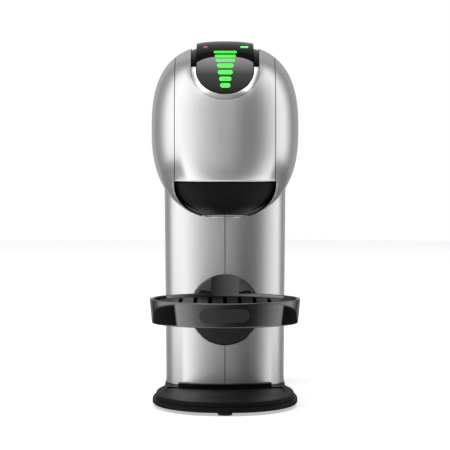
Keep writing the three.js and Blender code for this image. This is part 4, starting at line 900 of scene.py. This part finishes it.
def cup_support():
    ring = turned("ring", ring_profile(), RING_Y, sides=240, closed=True)
    foot_inner = RING_FOOT_RADIUS - RING_WALL
    rim_inner = RING_RADIUS - RING_WALL
    below, ledge, above = RING_BOTTOM_Z - 30, RING_BOTTOM_Z + RING_LEDGE, RING_TOP_Z + 40
    inside = [(0.01, below), (foot_inner, below), (foot_inner, ledge), (rim_inner, RING_TOP_Z),
              (rim_inner, above), (0.01, above)]
    disc = cylinder_y(DISC_RADIUS, (DISC_FRONT_Y, COLUMN_FRONT_Y + 10), DISC_Z)
    cut(disc, turned("space", inside, RING_Y, sides=240), column(-0.4, 0, COLUMN_TOP_Z, 60))
    pocket_outline = pill_outline(BADGE_LENGTH + 2 * GAP, BADGE_HEIGHT + 2 * GAP, BADGE_MIDDLE_Z)
    pocket = cut(prism(pocket_outline, "Y", -FAR, RING_Y), ring_solid(-BADGE_POCKET))
    whole = cut(union(ring, disc), pocket)
    smooth(whole, 30)
    place(whole, "support_ring", "cup_support", "black_gloss", ["tray_ring"])
    back, front = BADGE_PROUD
    badge_outline = pill_outline(BADGE_LENGTH, BADGE_HEIGHT, BADGE_MIDDLE_Z)
    badge = common(prism(badge_outline, "Y", -FAR, RING_Y), ring_solid(front))
    cut(badge, ring_solid(back))
    smooth(badge, 30)
    place(badge, "support_badge", "cup_support", "black_gloss", ["tray_badge"], BADGE)


GRID_TOP_Z = 80.0
GRID_THICKNESS = 2.0
GRID_SLOTS = 7
GRID_PITCH = 11.0
GRID_SLOT_HALF = 1.5
GRID_RIM = 9.0
BOWL_RADIUS = RING_FOOT_RADIUS - RING_WALL - 2 * GAP
BOWL_WALL = 2.0


def drip_bowl():
    low = RING_BOTTOM_Z + RING_LEDGE + GAP
    top = GRID_TOP_Z - GRID_THICKNESS - GAP
    inner = BOWL_RADIUS - BOWL_WALL
    corners = [(0.01, low), (BOWL_RADIUS, low), (BOWL_RADIUS, top), (inner, top), (inner, low + BOWL_WALL),
               (0.01, low + BOWL_WALL)]
    bowl = turned("bowl", rounded(corners, 0.8), RING_Y, sides=192)
    smooth(bowl, 30)
    place(bowl, "bowl_smooth", "bowl", "black_satin", ["drip_bowl"])


def drip_grid():
    low = GRID_TOP_Z - GRID_THICKNESS
    corners = [(0.01, low), (BOWL_RADIUS, low), (BOWL_RADIUS, GRID_TOP_Z), (0.01, GRID_TOP_Z)]
    plate = turned("grid", rounded(corners, 0.6), RING_Y, sides=192)
    for i in range(GRID_SLOTS):
        x = (i - GRID_SLOTS // 2) * GRID_PITCH
        end = math.sqrt((BOWL_RADIUS - GRID_RIM) ** 2 - x**2) - GRID_SLOT_HALF
        outline = arc(x, RING_Y + end, GRID_SLOT_HALF, 0, 180, 12)
        outline += arc(x, RING_Y - end, GRID_SLOT_HALF, 180, 360, 12)
        cut(plate, prism(outline, "Z", low - 2, GRID_TOP_Z + 2))
    smooth(plate, 30)
    place(plate, "grid_plate", "grid", "black_gloss", ["drip_grid"], FINISHES["black_satin"])


# ------------------------------------------------------------------ base
FLANGE_HALF_WIDTH = 54.5
FLANGE_BOTTOM_Z = 2.4
FLANGE_TOP_Z = 6.0
DECK_TOP_Z = 9.6
DECK_STEP = 2.5
DECK_RECESS_INSET = 9.0
DECK_RECESS_DEPTH = 0.8
BASE_WALL = 2.2
BASE_WIDEST_Y = -62.0
BASE_FRONT_DEPTH = 78.0
BASE_SHOULDER_DEPTH = 91.0
BASE_REAR_Y = BASE_HIGH[1]
BASE_REAR_NARROWING = 7.0
BASE_CORNER = 22.0
BASE_POWER = 2.2
PAD_HALF_WIDTH = 36.0
PAD_RISE = 2.4
SEAT_TOP_Z = 24.0
SEAT_INSET = 1.6
COUPLING_Y = 100.0
COUPLING_HOLE = 11.3
TANK_HALF_WIDTH = 46.0
TANK_REAR_Y = 144.5
TANK_CORNER = 28.0
TANK_FRONT_CORNER = 6.0


def base_plan(inset):
    """The base's outline: an oval in front that narrows under the column and runs straight back."""
    half = FLANGE_HALF_WIDTH - inset
    depth = BASE_FRONT_DEPTH - inset
    rear_half, rear = half - BASE_REAR_NARROWING, BASE_REAR_Y - inset
    power = 1 / BASE_POWER
    share = np.linspace(1, rear_half / half, 30)
    behind = BASE_SHOULDER_DEPTH * np.clip(1 - share**BASE_POWER, 0, 1) ** power
    shoulder = [*zip(half * share, BASE_WIDEST_Y + behind)][1:]
    corner_x, corner_y = rear_half - BASE_CORNER, rear - BASE_CORNER
    points = [*shoulder, *arc(corner_x, corner_y, BASE_CORNER, 0, 90)]
    points += arc(-corner_x, corner_y, BASE_CORNER, 90, 180)
    points += [(-x, y) for x, y in shoulder[::-1]]
    for angle in np.linspace(math.pi, 0, 120):
        cosine, sine = math.cos(angle), math.sin(angle)
        points.append((half * math.copysign(abs(cosine) ** (2 * power), cosine),
                       BASE_WIDEST_Y - depth * max(sine, 0) ** (2 * power)))
    return points


def tank_plan(inset):
    half, front, rear = TANK_HALF_WIDTH - inset, TANK_LOW[1] + inset, TANK_REAR_Y - inset
    corner, small = TANK_CORNER - inset, TANK_FRONT_CORNER - inset
    points = arc(half - corner, rear - corner, corner, 0, 90)
    points += arc(corner - half, rear - corner, corner, 90, 180)
    points += arc(small - half, front + small, small, 180, 270, 8)
    return points + arc(half - small, front + small, small, 270, 360, 8)


def stack(name, plan, levels):
    """A solid through a plan's outlines at (inset, height) pairs."""
    return rings_object(name, [[(x, y, z) for x, y in plan(inset)] for inset, z in levels])


def edge_levels(inset, low, high, radius, steps=5):
    """Levels of a straight wall with a rounded top edge."""
    levels = [(inset, low)]
    for t in np.linspace(0, math.pi / 2, steps):
        levels.append((inset + radius * (1 - math.cos(t)), high - radius * (1 - math.sin(t))))
    return levels


def base_cover():
    flange = stack("flange", base_plan, [
        (0.5, FLANGE_BOTTOM_Z), (0, FLANGE_BOTTOM_Z + 0.5),
        *edge_levels(0, FLANGE_BOTTOM_Z + 0.6, FLANGE_TOP_Z, 0.7),
    ])
    top = stack("deck", base_plan, [(DECK_STEP, 5.0), *edge_levels(DECK_STEP, 5.2, DECK_TOP_Z, 0.8)])
    seat = stack("seat", tank_plan, [(SEAT_INSET, 8.0), *edge_levels(SEAT_INSET, 8.2, SEAT_TOP_Z, 1.0)])
    pad = common(column(-6, DECK_TOP_Z - 1, DECK_TOP_Z + PAD_RISE, HEAD_REAR_Y),
                 block((-PAD_HALF_WIDTH, PAD_HALF_WIDTH), (COLUMN_FRONT_Y - 20, 0), (0, 20)))
    cut(pad, column(-GAP, DECK_TOP_Z, 20, HEAD_REAR_Y + GAP))
    whole = union(union(union(flange, top), seat), pad)
    recess = prism(base_plan(DECK_RECESS_INSET), "Z", DECK_TOP_Z - DECK_RECESS_DEPTH, DECK_TOP_Z + 1)
    cut(recess, column(-8, 0, 30, ABOVE), block((-60, 60), (COLUMN_FRONT_Y, 150), (0, 30)))
    under_deck = prism(base_plan(DECK_STEP + BASE_WALL), "Z", 0, DECK_TOP_Z - BASE_WALL)
    under_seat = prism(tank_plan(SEAT_INSET + BASE_WALL), "Z", 0, SEAT_TOP_Z - BASE_WALL)
    cut(whole, recess, union(under_deck, under_seat))
    coupling = turned("hole", [(COUPLING_HOLE, 0), (COUPLING_HOLE, 30)], COUPLING_Y, sides=64)
    cut(whole, coupling, block((-24, 8), (TANK_LOW[1] - 1, TANK_LOW[1] + 8), (9.5, 21)))
    smooth(whole, 30)
    place(whole, "base_cover_smooth", "base", "black_satin", ["base_cover"])


def feet():
    for name in ("foot_front", "foot_middle_left", "foot_middle_right", "foot_rear_left", "foot_rear_right"):
        a, b = box(name)
        radius = (b[0] - a[0]) / 2
        middle = (a + b) / 2
        corners = [(0.01, 0), (radius, 0), (radius, b[2]), (0.01, b[2])]
        foot = turned(name, rounded(corners, 0.5), middle[1], middle[0], 64)
        smooth(foot, 30)
        place(foot, name + "_pad", "base", "rubber", [name])


# ------------------------------------------------------------------ drawer, tank
DRAWER_GAP = 0.7
DRAWER_REAR_Y = -46.0
CAPSULE_Y = -82.0
OUTLET_RADIUS = 12.0
CAPSULE_TOP_RADIUS = 24.5
CAPSULE_FLANGE_RADIUS = 27.2


def drawer():
    inset = HEAD_WALL + 2 * GAP
    outline = mouth_outline(-DRAWER_GAP, MOUTH_TOP_Z - DRAWER_GAP)
    body = common(prism(outline, "Y", -FAR, DRAWER_REAR_Y), head(inset))
    seat = turned("seat", [
        (0.01, 137), (OUTLET_RADIUS, 137), (OUTLET_RADIUS, MOUTH_BOTTOM_Z + 3),
        (CAPSULE_TOP_RADIUS, MOUTH_TOP_Z - 4), (CAPSULE_FLANGE_RADIUS, MOUTH_TOP_Z - 3),
        (CAPSULE_FLANGE_RADIUS, 175), (0.01, 175),
    ], CAPSULE_Y, sides=128)
    cut(body, seat)
    true_normals(body, [on_head(inset)])
    place(body, "drawer_body", "capsule_drawer", "black_satin", ["capsule_holder"])
    x = np.linspace(-MOUTH_FLAT - 0.6, MOUTH_FLAT + 0.6, 40)
    z = np.full_like(x, MOUTH_BOTTOM_Z)
    bead("drawer_lip", np.stack([x, head_front(x, z, 0.6), z], 1), "capsule_drawer", "silver_body")


TANK_TOP_Z = 240.0
TANK_WALL = 2.5


def tank():
    low = TANK_LOW[2]
    walls = stack("tank", tank_plan, [(1.2, low), (0.35, low + 0.35), (0, low + 1.2), (0, TANK_TOP_Z)])
    cut(walls, stack("inside", tank_plan, [(TANK_WALL, low + TANK_WALL), (TANK_WALL, TANK_TOP_Z + 20)]))
    for side in (-1, 1):
        x = sorted((side * 13, side * 16.5))
        union(walls, block(x, (137, 144), (228, 248)))
    smooth(walls, 30)
    place(walls, "tank_body", "tank", "tank_smoke", ["water_tank"])


shells()
mouth_lips()
handle()
rear_cover()
display()
cup_support()
drip_bowl()
drip_grid()
base_cover()
feet()
drawer()
tank()

# ------------------------------------------------------------------ stage, lights and camera
REACH = 2.6
# Brightness around the machine, by azimuth: degrees, 0 at the front, negative to the left.
# The left side is brighter than the right one, and the front is dim.
AROUND = [
    (-180, 0.4), (-158, 0.45), (-145, 0.1), (-128, 0.3), (-114, 1.3), (-95, 1.6), (-75, 1.5), (-50, 1.15),
    (-26, 0.75), (0, 0.42), (22, 0.1), (45, 0.12), (60, 0.3), (75, 0.7), (90, 1.0), (105, 1.3),
    (117, 1.4), (126, 0.8), (140, 0.12), (155, 0.35), (180, 0.4),
]
# The same below the horizon, where the support's ring mirrors it, and lower still.
LOW = [
    (-180, 0.07), (-81, 0.02), (-79, 1.95), (-55, 1.27), (-45, 0.82), (-30, 0.45), (0, 0.14), (30, 0.05),
    (45, 0.12), (55, 0.32), (66, 0.6), (78, 1.05), (90, 1.3), (97, 1.3), (99, 0.02), (150, 0.03),
    (180, 0.07),
]
DEEP = [
    (-180, 0.3), (-140, 0.2), (-118, 1.3), (-95, 1.9), (-60, 1.7), (-30, 1.1), (0, 0.45), (30, 0.8),
    (60, 1.4), (95, 1.7), (118, 1.2), (140, 0.2), (180, 0.3),
]
# The wall's heights, each with its brightness.
BANDS = [(-3.0, DEEP), (-1.0, DEEP), (-0.88, LOW), (-0.29, LOW), (-0.26, AROUND), (3.6, AROUND)]


def studio():
    """A round wall of light, in three bands."""
    steps = 180
    degrees = np.linspace(-180, 180, steps, endpoint=False)
    radians = np.radians(degrees)
    x, y = REACH * np.sin(radians), -REACH * np.cos(radians)
    points, glow_values = [], []
    for height, band in BANDS:
        points += [(a, b, height) for a, b in zip(x, y)]
        glow_values.append(np.interp(degrees, *zip(*band)))
    faces = []
    for low in range(0, (len(BANDS) - 1) * steps, steps):
        high = low + steps
        for i in range(steps):
            j = (i + 1) % steps
            faces.append((low + i, low + j, high + j, high + i))
    mesh = bpy.data.meshes.new("studio_wall")
    mesh.from_pydata(points, [], faces)
    glow = mesh.attributes.new("glow", "FLOAT", "POINT")
    glow.data.foreach_set("value", np.concatenate(glow_values).astype(np.float32))
    wall = linked("studio_wall", mesh)
    material, nodes, links = node_material("studio_wall")
    nodes.clear()
    out = nodes.new("ShaderNodeOutputMaterial")
    shine = nodes.new("ShaderNodeEmission")
    read = nodes.new("ShaderNodeAttribute")
    read.attribute_name = "glow"
    links.new(read.outputs["Fac"], shine.inputs["Strength"])
    links.new(shine.outputs["Emission"], out.inputs["Surface"])
    mesh.materials.append(material)
    wall.visible_camera = False
    wall.visible_shadow = False


def floor():
    angles = np.linspace(0, 2 * math.pi, 96, endpoint=False)
    mesh = bpy.data.meshes.new("floor")
    size = REACH - 0.05
    mesh.from_pydata([(size * math.cos(a), size * math.sin(a), 0) for a in angles], [], [list(range(96))])
    obj = linked("floor", mesh)
    material = finish_of("floor", (0.86, 0.86, 0.86), 0.6, grain=60, height=0.02, tone=0.01)
    shader = material.node_tree.nodes["Principled BSDF"]
    shader.inputs["Specular IOR Level"].default_value = 0.1
    shader.inputs["Emission Color"].default_value = (1, 1, 1, 1)
    shader.inputs["Emission Strength"].default_value = 0.45
    mesh.materials.append(material)
    obj.visible_glossy = False


def area(name, where, size, power, target=(0, 0, 0.12)):
    light = bpy.data.lights.new(name, "AREA")
    light.shape = "RECTANGLE"
    light.size, light.size_y = size
    light.energy = power
    obj = bpy.data.objects.new(name, light)
    bpy.context.scene.collection.objects.link(obj)
    obj.location = where
    obj.rotation_euler = (Vector(target) - Vector(where)).to_track_quat("-Z", "Y").to_euler()
    obj.visible_camera = False
    light.specular_factor = 0.0


# sky brightness, from straight down (0) to straight up (1)
SKY = [(0.1, 0.8), (0.3, 0.6), (0.47, 0.1), (0.53, 0.1), (0.75, 0.2)]


def world():
    """White to the camera, and a dim sky over a dark ground to everything else."""
    made = bpy.data.worlds.new("world")
    bpy.context.scene.world = made
    made.use_nodes = True
    nodes, links = made.node_tree.nodes, made.node_tree.links
    background = nodes["Background"]
    coordinates = nodes.new("ShaderNodeTexCoord")
    split = nodes.new("ShaderNodeSeparateXYZ")
    links.new(coordinates.outputs["Generated"], split.inputs["Vector"])
    rise = nodes.new("ShaderNodeMapRange")
    rise.inputs["From Min"].default_value = -1.0
    sky = nodes.new("ShaderNodeValToRGB")
    first, last = sky.color_ramp.elements
    first.color, last.color = (0.9, 0.9, 0.9, 1), (0.15, 0.15, 0.15, 1)
    for position, value in SKY:
        sky.color_ramp.elements.new(position).color = (value, value, value, 1)
    links.new(split.outputs["Z"], rise.inputs["Value"])
    links.new(rise.outputs["Result"], sky.inputs["Fac"])
    rays = nodes.new("ShaderNodeLightPath")
    choose = nodes.new("ShaderNodeMixRGB")
    links.new(rays.outputs["Is Camera Ray"], choose.inputs["Fac"])
    links.new(sky.outputs["Color"], choose.inputs["Color1"])
    choose.inputs["Color2"].default_value = (1, 1, 1, 1)
    links.new(choose.outputs["Color"], background.inputs["Color"])


studio()
floor()
world()
area("top_soft", (0, -0.5, 2.3), (2.4, 2.4), 45)

CAMERA_AWAY, CAMERA_HEIGHT, CAMERA_DOWN = 1.871, 0.210, 2.367

lens = bpy.data.cameras.new("camera")
lens.lens = 192.6
lens.sensor_width = 36
lens.clip_end = 50
camera = bpy.data.objects.new("camera", lens)
bpy.context.scene.collection.objects.link(camera)
camera.location = (0, -CAMERA_AWAY, CAMERA_HEIGHT)
camera.rotation_euler = (math.radians(90 - CAMERA_DOWN), 0, 0)
bpy.context.scene.camera = camera
bpy.context.scene.view_settings.view_transform = "Standard"
